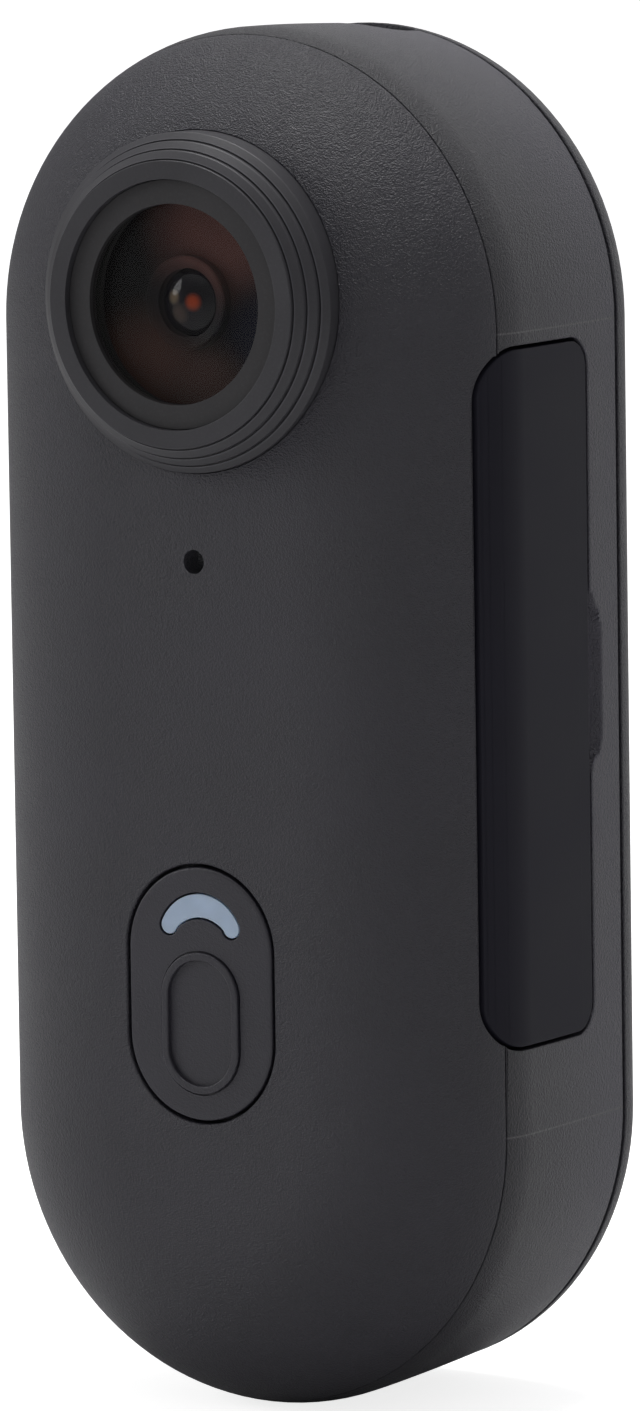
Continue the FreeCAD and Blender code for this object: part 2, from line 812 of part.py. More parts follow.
def lens_dome(shoulder_y, edge):
    """A glass disc with a domed front face and a slightly hollow back."""
    radius = glass_radius
    apex = shoulder_y - glass_dome_height
    rim = math.hypot(radius, glass_dome_height)
    bulge = (radius ** 2 + glass_dome_height ** 2) / (2 * glass_dome_height)
    half = math.asin(rim / 2 / bulge)
    middle_x = bulge * math.sin(half)
    middle_y = apex + bulge * (1 - math.cos(half))
    front = vec(0, apex, lens_z)
    rim_front = vec(radius, shoulder_y, lens_z)
    rim_back = vec(radius, shoulder_y + edge, lens_z)
    back = vec(0, shoulder_y + edge - glass_back_hollow, lens_z)
    edges = [arc(front, vec(middle_x, middle_y, lens_z), rim_front), line(rim_front, rim_back),
             line(rim_back, back), line(back, front)]
    face = Part.Face(Part.Wire(edges))
    return face.revolve(vec(0, 0, lens_z), vec(0, 1, 0), 360)


front_glass_y = barrel_front_y + glass_dome_height + front_glass_set
spacer_one_y = front_glass_y + front_glass_thickness
second_glass_y = spacer_one_y + spacer_thickness + glass_dome_height
spacer_two_y = second_glass_y + inner_glass_thickness
third_glass_y = spacer_two_y + spacer_thickness + glass_dome_height


def make_lens_barrel():
    bore = glass_radius + glass_gap
    profile = [(bore, barrel_front_y), (glass_radius + barrel_lip, barrel_front_y),
               (barrel_radius, barrel_front_y + barrel_shoulder), (barrel_radius, barrel_rear_y),
               (aperture_radius, barrel_rear_y), (aperture_radius, barrel_rear_y - barrel_rear_wall),
               (bore, barrel_rear_y - barrel_rear_wall)]
    return turned(profile)


def make_lens_spacers():
    tail_y = third_glass_y + inner_glass_thickness
    spacers = [ring(glass_radius, aperture_radius, spacer_one_y, spacer_one_y + spacer_thickness),
               ring(glass_radius, aperture_radius, spacer_two_y, spacer_two_y + spacer_thickness),
               ring(glass_radius, aperture_radius, tail_y, barrel_rear_y - barrel_rear_wall)]
    return Part.makeCompound(spacers)


def slab(width, height, z, y0, y1, x=0):
    return box(x - width / 2, x + width / 2, y0, y1, z - height / 2, z + height / 2)


holder_base_rear_y = holder_base_front_y + holder_base_thickness
sensor_front_y = holder_base_rear_y - sensor_thickness
filter_rear_y = sensor_front_y - filter_sensor_gap


def make_lens_holder():
    base = slab(holder_base_width, holder_base_width, lens_z, holder_base_front_y, holder_base_rear_y)
    span = 2 * (holder_screw_x + holder_ear_margin)
    ears = slab(span, holder_ear_height, lens_z, holder_base_front_y, holder_base_rear_y)
    neck = rod_y(0, lens_z, barrel_radius + glass_gap + holder_neck_wall,
                 holder_base_front_y - holder_neck_length, holder_base_front_y)
    holder = join([base, ears, neck])
    gap = 2 * part_gap
    cuts = [rod_y(0, lens_z, barrel_radius + glass_gap, -reach, barrel_rear_y + part_gap),
            slab(filter_width - 2 * holder_window_lip, filter_height - 2 * holder_window_lip, lens_z,
                 barrel_rear_y, holder_base_rear_y),
            slab(filter_width + gap, filter_height + gap, lens_z, filter_rear_y - filter_thickness,
                 holder_base_rear_y),
            slab(sensor_width + gap, sensor_height + gap, lens_z, sensor_front_y - part_gap,
                 holder_base_rear_y)]
    for side in (-1, 1):
        cuts.append(rod_y(side * holder_screw_x, lens_z, screw_radius + screw_hole_gap,
                          holder_base_front_y - past, holder_base_rear_y))
    for shape in cuts:
        holder = holder.cut(shape)
    return holder


def make_ir_filter():
    return slab(filter_width, filter_height, lens_z, filter_rear_y - filter_thickness, filter_rear_y)


def make_image_sensor():
    return slab(sensor_width, sensor_height, lens_z, sensor_front_y, holder_base_rear_y)


def make_sensor_board():
    return slab(sensor_board_width, sensor_board_width, lens_z, holder_base_rear_y,
                holder_base_rear_y + board_thickness)


connector_height = holder_base_rear_y + board_thickness - board_rear_y


def make_sensor_flex():
    y = holder_base_rear_y + board_thickness
    z1 = lens_z - sensor_board_width / 2 + flex_overlap
    z0 = board_top_z - plug_top_margin - flex_overlap
    return box(-flex_width / 2, flex_width / 2, y, y + flex_thickness, z0, z1)


def make_board_connectors():
    z1 = board_top_z - plug_top_margin
    half = flex_width / 2 + plug_rim
    camera_end = box(-half, half, board_rear_y, board_rear_y + connector_height, z1 - flex_overlap, z1)
    battery_end = slab(battery_plug_width, battery_plug_height, circuit_z, board_rear_y,
                       board_rear_y + battery_plug_depth, battery_plug_x)
    return Part.makeCompound([camera_end, battery_end])


def screw(x, z, head_y, reach_in):
    """A small round-headed screw that points forward, with a cross slot."""
    head = rod_y(x, z, screw_head_radius, head_y, head_y + screw_head_height)
    shank = rod_y(x, z, screw_radius, head_y - reach_in, head_y)
    slot_depth = screw_head_height / 2
    top = head_y + screw_head_height
    slot = slab(screw_slot_length, screw_slot_width, z, head_y + slot_depth, top, x)
    other = slab(screw_slot_width, screw_slot_length, z, head_y + slot_depth, top, x)
    return join([head, shank]).cut(slot).cut(other)


def make_board_screws():
    reach_in = chassis_rear_y - board_front_y + screw_grip
    return Part.makeCompound([screw(x, z, chassis_rear_y, reach_in) for x, z in board_boss_places])


def make_holder_screws():
    reach_in = holder_base_thickness + holder_screw_grip
    return Part.makeCompound([screw(side * holder_screw_x, lens_z, holder_base_rear_y, reach_in)
                              for side in (-1, 1)])


def make_case_screws():
    head_y = case_ear_y + case_ear_thickness
    reach_in = head_y - split_y + case_screw_grip
    return Part.makeCompound([screw(x, z, head_y, reach_in) for x, z in case_boss_places])


def make_main_board():
    board = box(-board_width / 2, board_width / 2, board_front_y, board_rear_y, board_bottom_z,
                board_top_z)
    corners = [edge for edge in board.Edges
               if edge.BoundBox.YLength > board_thickness / 2 and edge.BoundBox.ZMax < 0]
    board = board.makeFillet(board_corner_radius, corners)
    for x, z in board_boss_places:
        board = board.cut(rod_y(x, z, screw_radius + screw_hole_gap, board_front_y - past,
                                board_rear_y + past))
    return board


def on_board_front(width, height, thickness, x, rise):
    return slab(width, height, board_bottom_z + rise, board_front_y - thickness, board_front_y, x)


def chips(layout):
    return Part.makeCompound([on_board_front(*chip) for chip in layout])


def make_processor():
    return on_board_front(processor_size, processor_size, processor_thickness, processor_x,
                          processor_rise)


def make_heat_pad():
    y1 = board_front_y - processor_thickness
    side = processor_size - 2 * heat_pad_margin
    return slab(side, side, board_bottom_z + processor_rise, y1 - heat_pad_thickness, y1, processor_x)


def make_heat_plate():
    y1 = board_front_y - processor_thickness - heat_pad_thickness
    return slab(processor_size, processor_size + 2 * heat_plate_overhang,
                board_bottom_z + processor_rise, y1 - heat_plate_thickness, y1, processor_x)


def make_wifi_chip():
    return on_board_front(wifi_chip_width, wifi_chip_height, wifi_chip_thickness, can_x, can_rise)


def make_shield_can():
    can = on_board_front(can_width, can_height, can_depth, can_x, can_rise)
    inside = on_board_front(can_width - 2 * can_wall, can_height - 2 * can_wall, can_depth - can_wall,
                            can_x, can_rise)
    return can.cut(inside)


def make_usb_port():
    x1 = socket_mouth_x
    x0 = x1 - usb_length
    shell = sideways_pill(usb_height, usb_width, usb_centre_y, usb_z, x0, x1)
    inside = sideways_pill(usb_height - 2 * usb_wall, usb_width - 2 * usb_wall, usb_centre_y, usb_z,
                           x0 + usb_back_wall, x1)
    return shell.cut(inside)


def make_usb_tongue():
    x0 = socket_mouth_x - usb_length + usb_back_wall
    half = usb_tongue_thickness / 2
    blade = box(x0, socket_mouth_x - usb_tongue_set, usb_centre_y - half, usb_centre_y + half,
                usb_z - usb_tongue_width / 2, usb_z + usb_tongue_width / 2)
    inset = 2 * (usb_wall + usb_fit_gap)
    root = sideways_pill(usb_height - inset, usb_width - inset, usb_centre_y, usb_z, x0,
                         x0 + usb_back_wall)
    return join([blade, root])


def make_card_slot():
    x1 = socket_mouth_x
    x0 = x1 - card_slot_length
    y1 = card_rear_y
    y0 = y1 - card_slot_height
    z0 = card_z - card_slot_width / 2
    z1 = card_z + card_slot_width / 2
    wall_in = card_slot_wall
    shell = box(x0, x1, y0, y1, z0, z1)
    return shell.cut(box(x0 + wall_in, x1 + past, y0 + wall_in, y1 - wall_in, z0 + wall_in, z1 - wall_in))


def make_tactile_switch():
    switch = slab(switch_width, switch_width, dish_z, switch_front_y, board_front_y)
    floor_y = switch_front_y + plunger_depth + button_travel + switch_bottom_gap
    return switch.cut(rod_y(0, dish_z, plunger_radius + hole_gap, switch_front_y - past, floor_y))


def make_status_led():
    return slab(led_width, led_height, light_guide_z, board_front_y - led_thickness, board_front_y)


def make_microphone():
    return slab(mic_width, mic_length, mic_z, board_front_y - mic_height, board_front_y)


mesh_rear_y = front_y + wall + mic_mesh_thickness


def make_mic_mesh():
    return rod_y(0, mic_z, mic_mesh_radius, front_y + wall, mesh_rear_y)


def make_mic_boot():
    y1 = board_front_y - mic_height
    boot = rod_y(0, mic_z, mic_boot_radius, mesh_rear_y, y1)
    return boot.cut(rod_y(0, mic_z, mic_boot_bore, mesh_rear_y - past, y1 + past))


def make_chassis():
    plate = between(body_blank(chassis_inset), chassis_front_y, chassis_rear_y)
    plate = plate.common(box(-reach, pocket_floor_x - pocket_floor_wall - chassis_pocket_gap, -reach, 0,
                             -reach, reach))
    tray = box(-tray_half_width, tray_half_width, chassis_front_y, battery_rear_y, tray_bottom_z,
               tray_top_z)
    half = tray_half_width - tray_wall
    tray = tray.cut(box(-half, half, chassis_rear_y, 0, tray_bottom_z + tray_wall,
                        tray_top_z - tray_wall))
    posts = [rod_y(x, z, boss_radius, board_rear_y, chassis_front_y) for x, z in board_boss_places]
    chassis = join([plate, tray] + posts)
    cuts = [slab(plug_window_width, plug_window_height, circuit_z, board_rear_y, chassis_rear_y,
                 battery_plug_x)]
    for x, z in board_boss_places:
        cuts.append(rod_y(x, z, screw_radius + screw_hole_gap, board_rear_y - past,
                          chassis_rear_y + past))
    for shape in cuts:
        chassis = chassis.cut(shape)
    return chassis


def make_battery():
    cell = box(-battery_width / 2, battery_width / 2, battery_front_y, battery_rear_y,
               battery_bottom_z, battery_top_z)
    long_edges = [edge for edge in cell.Edges if edge.BoundBox.ZLength > battery_edge_radius]
    return cell.makeFillet(battery_edge_radius, long_edges)


def make_battery_tape():
    half = battery_width / 2 - tape_margin_x
    return box(-half, half, chassis_rear_y, battery_front_y, battery_bottom_z + tape_margin_z,
               battery_top_z - tape_margin_z)


def make_battery_circuit():
    return slab(circuit_width, circuit_length, circuit_z, battery_front_y,
                battery_front_y + circuit_thickness)


def make_battery_leads():
    y0 = board_rear_y + battery_plug_depth
    return Part.makeCompound([rod_y(battery_plug_x + side * lead_spread, circuit_z, lead_radius, y0,
                                    battery_front_y) for side in (-1, 1)])


def make_wifi_antenna():
    x = -tray_half_width
    return box(x - antenna_thickness, x, chassis_rear_y + antenna_margin,
               battery_rear_y - antenna_margin, antenna_low_z, antenna_low_z + antenna_length)


def make_vibration_motor():
    return rod_y(0, lens_z, motor_radius, chassis_rear_y, chassis_rear_y + motor_thickness)


def make_magnets():
    return Part.makeCompound([rod_y(x, z, magnet_radius, magnet_front_y, magnet_rear_y)
                              for x, z in magnet_places])


def make_magnet_plate():
    low = min(z for x, z in magnet_places) - magnet_radius
    high = max(z for x, z in magnet_places) + magnet_radius
    widest = max(x for x, z in magnet_places) + magnet_radius
    return pill(2 * widest, high - low + 2 * keeper_end_margin, 0, (low + high) / 2,
                keeper_front_y, magnet_front_y)


def make_strap_bar():
    bar_end = recess_half_width + strap_bar_set
    return Part.makeCylinder(strap_bar_radius, 2 * bar_end, vec(-bar_end, strap_bar_y, strap_bar_z),
                             vec(1, 0, 0))


def make_side_door():
    door = side_outline(door_gap, door_inner_x, reach).common(full_body)
    barrel_half = ear_end_z - opening_centre_z
    far = hinge_y - reach
    front_zone = box(0, reach, far, hinge_y, opening_bottom_z, opening_top_z)
    nose = rod_z(hinge_x, hinge_y, hinge_depth, opening_bottom_z, opening_top_z)
    door = door.cut(front_zone.cut(nose))
    barrel = rod_z(hinge_x, hinge_y, hinge_depth, opening_centre_z - barrel_half,
                   opening_centre_z + barrel_half)
    door = join([door, barrel])
    ear_room = rod_z(hinge_x, hinge_y, hinge_ear_radius + hinge_ear_gap, ear_end_z - hinge_zone_gap,
                     opening_top_z)
    front_room = box(hinge_x - reach, hinge_x, far, hinge_y, ear_end_z - hinge_zone_gap, opening_top_z)
    pin_bore = rod_z(hinge_x, hinge_y, hinge_pin_radius + hinge_pin_fit,
                     ear_end_z - hinge_pin_length / 2 - hinge_zone_gap, opening_top_z)
    for shape in both_ends(ear_room) + both_ends(front_room) + both_ends(pin_bore):
        door = door.cut(shape)
    return largest(door)


def make_hinge_pins():
    pin = rod_z(hinge_x, hinge_y, hinge_pin_radius, ear_end_z - hinge_pin_length / 2,
                ear_end_z + hinge_pin_length / 2)
    return Part.makeCompound(both_ends(pin))


def make_door_seal():
    """A soft frame behind the door that closes on the pocket floor."""
    x0 = door_inner_x - door_seal_thickness
    y0 = hinge_y + hinge_depth + door_seal_front_gap
    y1 = opening_rear_y - door_gap - door_seal_rear_gap
    z0 = opening_bottom_z + door_seal_margin
    z1 = opening_top_z - door_seal_margin
    width = door_seal_width
    frame = box(x0, door_inner_x, y0, y1, z0, z1)
    return frame.cut(box(x0, door_inner_x, y0 + width, y1 - width, z0 + width, z1 - width))


def crescent(y0, y1, grow):
    """The light window's crescent, drawn out by grow on every side."""
    shoulder = crescent_half_width + grow
    foot = crescent_inner_half_width - grow
    low = button_z + crescent_low - grow
    left = vec(-shoulder, y0, button_z + crescent_shoulder)
    right = vec(shoulder, y0, button_z + crescent_shoulder)
    foot_left = vec(-foot, y0, button_z + crescent_foot)
    foot_right = vec(foot, y0, button_z + crescent_foot)
    top = button_z + crescent_top + grow
    inner_top = button_z + crescent_inner_top - grow
    edges = [arc(left, vec(0, y0, top), right),
             arc(right, vec(crescent_tip_half_width, y0, low), foot_right),
             arc(foot_right, vec(0, y0, inner_top), foot_left),
             arc(foot_left, vec(-crescent_tip_half_width, y0, low), left)]
    return Part.Face(Part.Wire(edges)).extrude(vec(0, y1 - y0, 0))


flange_front_y = front_y + wall + button_rest_gap
button_rear_y = flange_front_y + button_flange_thickness
switch_front_y = board_front_y - switch_height
plunger_front_y = switch_front_y - plunger_stand
light_guide_rear_y = board_front_y - led_thickness - led_gap


def make_shutter_button():
    pad = pill(button_width, button_height, 0, button_z, front_y, button_rear_y)
    spread = 2 * (button_gap + button_flange_width)
    flange = pill(button_width + spread, button_height + spread, 0, button_z, flange_front_y,
                  button_rear_y)
    rim = pill(dish_width, dish_height, 0, dish_z, front_y - dish_rim_height, front_y)
    stem = rod_y(0, dish_z, stem_radius, button_rear_y, plunger_front_y)
    button = join([pad, flange, rim, stem])
    dish = pill(dish_width - 2 * dish_rim_width, dish_height - 2 * dish_rim_width, 0, dish_z,
                front_y - past, front_y + dish_depth)
    button = button.cut(dish)
    return button.cut(crescent(front_y - past, button_rear_y + past, crescent_gap))


def make_light_window():
    lens = crescent(front_y, button_rear_y, 0)
    guide = rod_y(0, light_guide_z, light_guide_radius, button_rear_y, light_guide_rear_y)
    return join([lens, guide])


def make_switch_plunger():
    return rod_y(0, dish_z, plunger_radius, plunger_front_y, switch_front_y + plunger_depth)


def make_button_gasket():
    outer = 2 * (button_gap + button_flange_width + button_well_gap + button_well_wall)
    y0 = front_y + wall + button_well_depth
    gasket = pill(button_width + outer, button_height + outer, 0, button_z, y0,
                  y0 + button_gasket_thickness)
    gasket = gasket.cut(rod_y(0, dish_z, stem_radius + hole_gap, y0 - past, y0 + past))
    return gasket.cut(rod_y(0, light_guide_z, light_guide_radius + hole_gap, y0 - past, y0 + past))


makers = {
    "front_shell": make_front_shell,
    "middle_frame": make_middle_frame,
    "rear_cover": make_rear_cover,
    "rear_cover_gasket": make_rear_gasket,
    "case_seal": make_case_seal,
    "case_screws": make_case_screws,
    "lens_collar": make_lens_collar,
    "lens_bezel": make_lens_bezel,
    "lens_window": make_lens_window,
    "window_gasket": make_window_gasket,
    "lens_baffle": make_lens_baffle,
    "lens_barrel": make_lens_barrel,
    "lens_spacers": make_lens_spacers,
    "front_lens": lambda: lens_dome(front_glass_y, front_glass_thickness),
    "second_lens": lambda: lens_dome(second_glass_y, inner_glass_thickness),
    "third_lens": lambda: lens_dome(third_glass_y, inner_glass_thickness),
    "lens_holder": make_lens_holder,
    "holder_screws": make_holder_screws,
    "ir_filter": make_ir_filter,
    "image_sensor": make_image_sensor,
    "sensor_board": make_sensor_board,
    "sensor_flex": make_sensor_flex,
    "board_connectors": make_board_connectors,
    "main_board": make_main_board,
    "board_screws": make_board_screws,
    "processor": make_processor,
    "heat_pad": make_heat_pad,
    "heat_plate": make_heat_plate,
    "memory_chip": lambda: chips(memory_chip_layout),
    "power_chips": lambda: chips(power_chip_layout),
    "motion_sensor": lambda: chips(motion_sensor_layout),
    "wifi_chip": make_wifi_chip,
    "shield_can": make_shield_can,
    "wifi_antenna": make_wifi_antenna,
    "usb_port": make_usb_port,
    "usb_tongue": make_usb_tongue,
    "card_slot": make_card_slot,
    "tactile_switch": make_tactile_switch,
    "status_led": make_status_led,
    "microphone": make_microphone,
    "microphone_boot": make_mic_boot,
    "microphone_mesh": make_mic_mesh,
    "chassis": make_chassis,
    "battery": make_battery,
    "battery_tape": make_battery_tape,
    "battery_circuit": make_battery_circuit,
    "battery_leads": make_battery_leads,
    "vibration_motor": make_vibration_motor,
    "back_magnets": make_magnets,
    "magnet_plate": make_magnet_plate,
    "strap_bar": make_strap_bar,
    "side_door": make_side_door,
    "door_seal": make_door_seal,
    "door_hinge_pins": make_hinge_pins,
    "shutter_button": make_shutter_button,
    "light_window": make_light_window,
    "switch_plunger": make_switch_plunger,
    "button_gasket": make_button_gasket,
}

os.makedirs("parts", exist_ok=True)
for node, maker in makers.items():
    save(node, maker())
print("nodes:", len(makers))
print("hinge line x, y:", round(hinge_x, 3), round(hinge_y, 3))
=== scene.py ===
import json
import math
import bmesh
import bpy
from mathutils import Matrix, Vector


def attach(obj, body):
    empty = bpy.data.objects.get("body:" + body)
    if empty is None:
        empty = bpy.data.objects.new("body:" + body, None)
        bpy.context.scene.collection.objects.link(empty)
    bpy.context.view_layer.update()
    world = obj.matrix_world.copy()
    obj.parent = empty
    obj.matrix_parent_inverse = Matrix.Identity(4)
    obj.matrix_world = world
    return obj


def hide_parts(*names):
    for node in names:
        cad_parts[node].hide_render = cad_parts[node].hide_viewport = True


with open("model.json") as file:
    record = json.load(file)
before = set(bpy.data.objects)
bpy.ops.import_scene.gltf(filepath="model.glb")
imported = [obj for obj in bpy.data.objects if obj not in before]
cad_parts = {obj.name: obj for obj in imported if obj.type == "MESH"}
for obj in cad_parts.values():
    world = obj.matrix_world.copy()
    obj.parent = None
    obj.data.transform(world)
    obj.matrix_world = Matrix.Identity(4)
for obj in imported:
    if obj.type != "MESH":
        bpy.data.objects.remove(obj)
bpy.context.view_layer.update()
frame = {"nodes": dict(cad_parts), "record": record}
mm = 0.001
print("frame loaded:", len(frame["nodes"]), "nodes")


# Camera: it stands to the right of the lens axis and a little above, a long way off for the size.
view = {"azimuth": 0.575, "elevation": 0.1209, "roll": -0.0145, "distance": 452.78,
        "target": (3.509, -12.55, 0.984), "lens": 254.28, "sensor": 36.0, "clipStart": 10}


def placeCamera():
    az, el, roll = view["azimuth"], view["elevation"], view["roll"]
    back = Vector((math.sin(az) * math.cos(el), -math.cos(az) * math.cos(el), math.sin(el)))
    right = Vector((math.cos(az), math.sin(az), 0))
    up = back.cross(right)
    turnedRight = math.cos(roll) * right + math.sin(roll) * up
    turnedUp = -math.sin(roll) * right + math.cos(roll) * up
    turn = Matrix((turnedRight, turnedUp, back)).transposed()
    spot = (Vector(view["target"]) + view["distance"] * back) * mm
    bpy.ops.object.camera_add(location=spot, rotation=turn.to_euler())
    camera = bpy.context.object
    camera.name = "photoCamera"
    camera.data.sensor_fit = "AUTO"
    camera.data.sensor_width = view["sensor"]
    camera.data.lens = view["lens"]
    camera.data.clip_start = view["clipStart"] * mm
    bpy.context.scene.camera = camera


placeCamera()
print("camera placed")


# Small helpers for modelling. Sizes are in millimetres everywhere in this file.
hair = 0.001  # places this near each other are one place
slack = 0.01  # room for rounding when an edge is picked by its place
flatness = 0.999  # least part of a flat face's normal that points along Y
sharpAngle = 35
smoothAngle = 30
fineTurn = 180  # steps round the large rings


def dropSelection():
    if bpy.context.object and bpy.context.object.mode == "EDIT":
        bpy.ops.object.mode_set(mode="OBJECT")
    bpy.ops.object.select_all(action="DESELECT")


def choose(piece):
    dropSelection()
    piece.select_set(True)
    bpy.context.view_layer.objects.active = piece


def nameIt(name):
    piece = bpy.context.object
    piece.name = name
    piece.data.name = name
    return piece


def settle():
    bpy.ops.object.transform_apply(location=True, rotation=True, scale=True)


def pick(piece, kind, test):
    # selects by place, in edit mode
    bpy.ops.mesh.select_mode(type=kind)
    bpy.ops.mesh.select_all(action="DESELECT")
    shape = bmesh.from_edit_mesh(piece.data)
    parts = {"VERT": shape.verts, "EDGE": shape.edges, "FACE": shape.faces}[kind]
    for part in parts:
        part.select_set(bool(test(part)))
    bmesh.update_edit_mesh(piece.data)


def middle(edge):
    return (edge.verts[0].co + edge.verts[1].co) / 2 / mm


def runsAlong(edge, axis):
    return abs(edge.verts[0].co[axis] - edge.verts[1].co[axis]) > slack * mm


def sharp(edge):
    return edge.calc_face_angle(0) > math.radians(sharpAngle)


def extrude(step):
    # the step is in metres, like those of Blender's own transforms
    bpy.ops.mesh.extrude_region_move(TRANSFORM_OT_translate={"value": step})


def drawLine(name, points, closed=False):
    # one vertex is drawn along the points by extruding it
    dropSelection()
    bpy.ops.mesh.primitive_plane_add(size=mm)
    piece = nameIt(name)
    bpy.ops.object.mode_set(mode="EDIT")
    bpy.ops.mesh.select_mode(type="VERT")
    bpy.ops.mesh.merge(type="CENTER")
    bpy.ops.transform.translate(value=Vector(points[0]) * mm)
    for before, after in zip(points, points[1:]):
        extrude((Vector(after) - Vector(before)) * mm)
    if closed:
        ends = [Vector(points[0]), Vector(points[-1])]
        pick(piece, "VERT", lambda v: min((v.co / mm - end).length for end in ends) < hair)
        bpy.ops.mesh.edge_face_add()
    bpy.ops.mesh.select_all(action="SELECT")
    return piece


def tidyMesh():
    bpy.ops.mesh.select_all(action="SELECT")
    bpy.ops.mesh.remove_doubles(threshold=hair * mm)
    bpy.ops.mesh.normals_make_consistent(inside=False)
    bpy.ops.object.mode_set(mode="OBJECT")


def turned(name, outline, closed=True, steps=128):
    # spins a (radius, depth) outline round the lens axis
    z = body["lensHeight"]
    piece = drawLine(name, [(radius, y, z) for radius, y in outline], closed)
    bpy.ops.mesh.spin(steps=steps, angle=2 * math.pi, center=(0, 0, z * mm), axis=(0, 1, 0))
    tidyMesh()
    return piece


def ringFace(piece, depth, width):
    # a narrow ring inside a flat front face keeps the shading of its edge off the flat
    choose(piece)
    bpy.ops.object.mode_set(mode="EDIT")
    pick(piece, "FACE", lambda f: abs(f.normal.y) > flatness
         and abs(f.calc_center_median().y / mm - depth) < hair)
    bpy.ops.mesh.inset(thickness=width * mm, depth=0)
    bpy.ops.object.mode_set(mode="OBJECT")


def roll(piece, width, segments, test):
    # bevels the edges that pass the test
    choose(piece)
    bpy.ops.object.mode_set(mode="EDIT")
    pick(piece, "EDGE", test)
    bpy.ops.mesh.bevel(offset=width * mm, segments=segments, clamp_overlap=False, affect="EDGES")
    bpy.ops.object.mode_set(mode="OBJECT")


def soften(piece, width, test=lambda m: True, segments=2):
    # bevels the sharp edges whose middle passes the test
    roll(piece, width, segments, lambda e: sharp(e) and test(middle(e)))


def combine(piece, tool, operation="DIFFERENCE"):
    choose(piece)
    bpy.ops.object.modifier_add(type="BOOLEAN")
    step = piece.modifiers[-1]
    step.operation = operation
    step.object = tool
    step.solver = "EXACT"
    bpy.ops.object.modifier_apply(modifier=step.name)
    bpy.data.objects.remove(tool)


def block(name, low, high):
    dropSelection()
    size = [(b - a) * mm for a, b in zip(low, high)]
    spot = [(a + b) / 2 * mm for a, b in zip(low, high)]
    bpy.ops.mesh.primitive_cube_add(size=1, location=spot, scale=size)
    settle()
    return nameIt(name)


def pillBlock(name, width, height, z, front, rear, steps=96):
    # an upright oval: a circle whose halves are moved apart, then given depth
    dropSelection()
    bpy.ops.mesh.primitive_circle_add(vertices=steps, radius=width / 2 * mm, fill_type="NGON",
                                      location=(0, front * mm, z * mm),
                                      rotation=(math.pi / 2, math.pi / steps, 0))
    settle()
    piece = nameIt(name)
    bpy.ops.object.mode_set(mode="EDIT")
    rise = (height - width) / 2 * mm
    for side in (1, -1):
        pick(piece, "VERT", lambda v: (v.co.z / mm - z) * side > 0)
        bpy.ops.transform.translate(value=(0, 0, side * rise))
    bpy.ops.mesh.select_all(action="SELECT")
    extrude((0, (rear - front) * mm, 0))
    tidyMesh()
    return piece


def rod(name, radius, start, end, steps=48):
    dropSelection()
    first, last = Vector(start), Vector(end)
    run = last - first
    turn = Vector((0, 0, 1)).rotation_difference(run).to_euler()
    bpy.ops.mesh.primitive_cylinder_add(vertices=steps, radius=radius * mm, depth=run.length * mm,
                                        location=(first + last) / 2 * mm, rotation=turn)
    settle()
    return nameIt(name)


# Body outline: a half section that is swept round both ends. One arc rounds its side and another its
# face, and they meet at the angle called join.
body = {"endCentre": 18.2, "front": -17.45, "widest": -10.75, "sideCentre": 8.0, "sideRadius": 5.5,
        "flat": 4.95, "faceRadius": 9.976, "faceCentre": -7.474, "join": -47.05,
        "drawIn": 0.31, "drawInPower": 1.5, "sideSteps": 9, "wall": 1.2, "split": -12.55,
        "splitGap": 0.05, "rear": -2.33, "endSteps": 60, "edge": 0.045, "lensHeight": 19.6}
halfWidth = body["sideCentre"] + body["sideRadius"]
# cutting shapes end here, well outside the body
outside = {"front": -20, "side": 15, "top": 34}


def skinAt(degrees, inset):
    angle = math.radians(degrees)
    x, y, radius = body["sideCentre"], body["widest"], body["sideRadius"]
    if degrees < body["join"]:
        x, y, radius = body["flat"], body["faceCentre"], body["faceRadius"]
    return (x + (radius - inset) * math.cos(angle), y + (radius - inset) * math.sin(angle))


def angleAt(y, inset=0.0):
    return math.degrees(math.asin((y - body["widest"]) / (body["sideRadius"] - inset)))


def skinRun(start, end, count, inset=0.0):
    return [skinAt(start + (end - start) * i / count, inset) for i in range(count + 1)]


def sideAt(y, inset):
    # behind the widest place the side curves in, slowly at first
    part = (y - body["widest"]) / (body["rear"] - body["widest"])
    return (halfWidth - inset - body["drawIn"] * part ** body["drawInPower"], y)


def sideRun(inset=0.0):
    run, count = body["rear"] - body["widest"], body["sideSteps"]
    return [sideAt(body["widest"] + run * i / count, inset) for i in range(1, count + 1)]


def outward(m):
    # distance from the line between the centres of the two ends
    return math.hypot(m.x, max(abs(m.z) - body["endCentre"], 0))


def skinDepth(m):
    # depth of the front skin at a point's place
    reach = max(outward(m) - body["flat"], 0)
    return body["faceCentre"] - math.sqrt(body["faceRadius"] ** 2 - reach ** 2)


def fromLens(m):
    return math.hypot(m.x, m.z - body["lensHeight"])


def sweepBody(name, line, closed=False):
    top = body["endCentre"]
    piece = drawLine(name, [(x, y, top) for x, y in line], closed)
    for side in (1, -1):
        bpy.ops.mesh.spin(steps=body["endSteps"], angle=math.pi, center=(0, 0, side * top * mm),
                          axis=(0, 1, 0))
        extrude((0, 0, -side * 2 * top * mm))
    bpy.ops.mesh.select_all(action="SELECT")
    bpy.ops.mesh.remove_doubles(threshold=hair * mm)
    return piece


def closeLoops(piece, *depths):
    for depth in depths:
        pick(piece, "EDGE", lambda e: e.is_boundary and abs(middle(e).y - depth) < hair)
        bpy.ops.mesh.edge_face_add()
    tidyMesh()


# Door opening in the right side, shared by both halves of the case and the door.
opening = {"front": -13.71, "rear": -5.0, "bottom": -14.3, "top": 17.6, "frontRadius": 2.33,
           "rearRadius": 1.5, "cornerSteps": 14, "floor": 10.9, "floorWall": 0.9, "sideWall": 0.8,
           "edge": 0.11, "margin": 0.1, "shellCut": 2, "shellSkin": 12.2, "bandSkin": 12.4,
           "rearReach": 1.6}


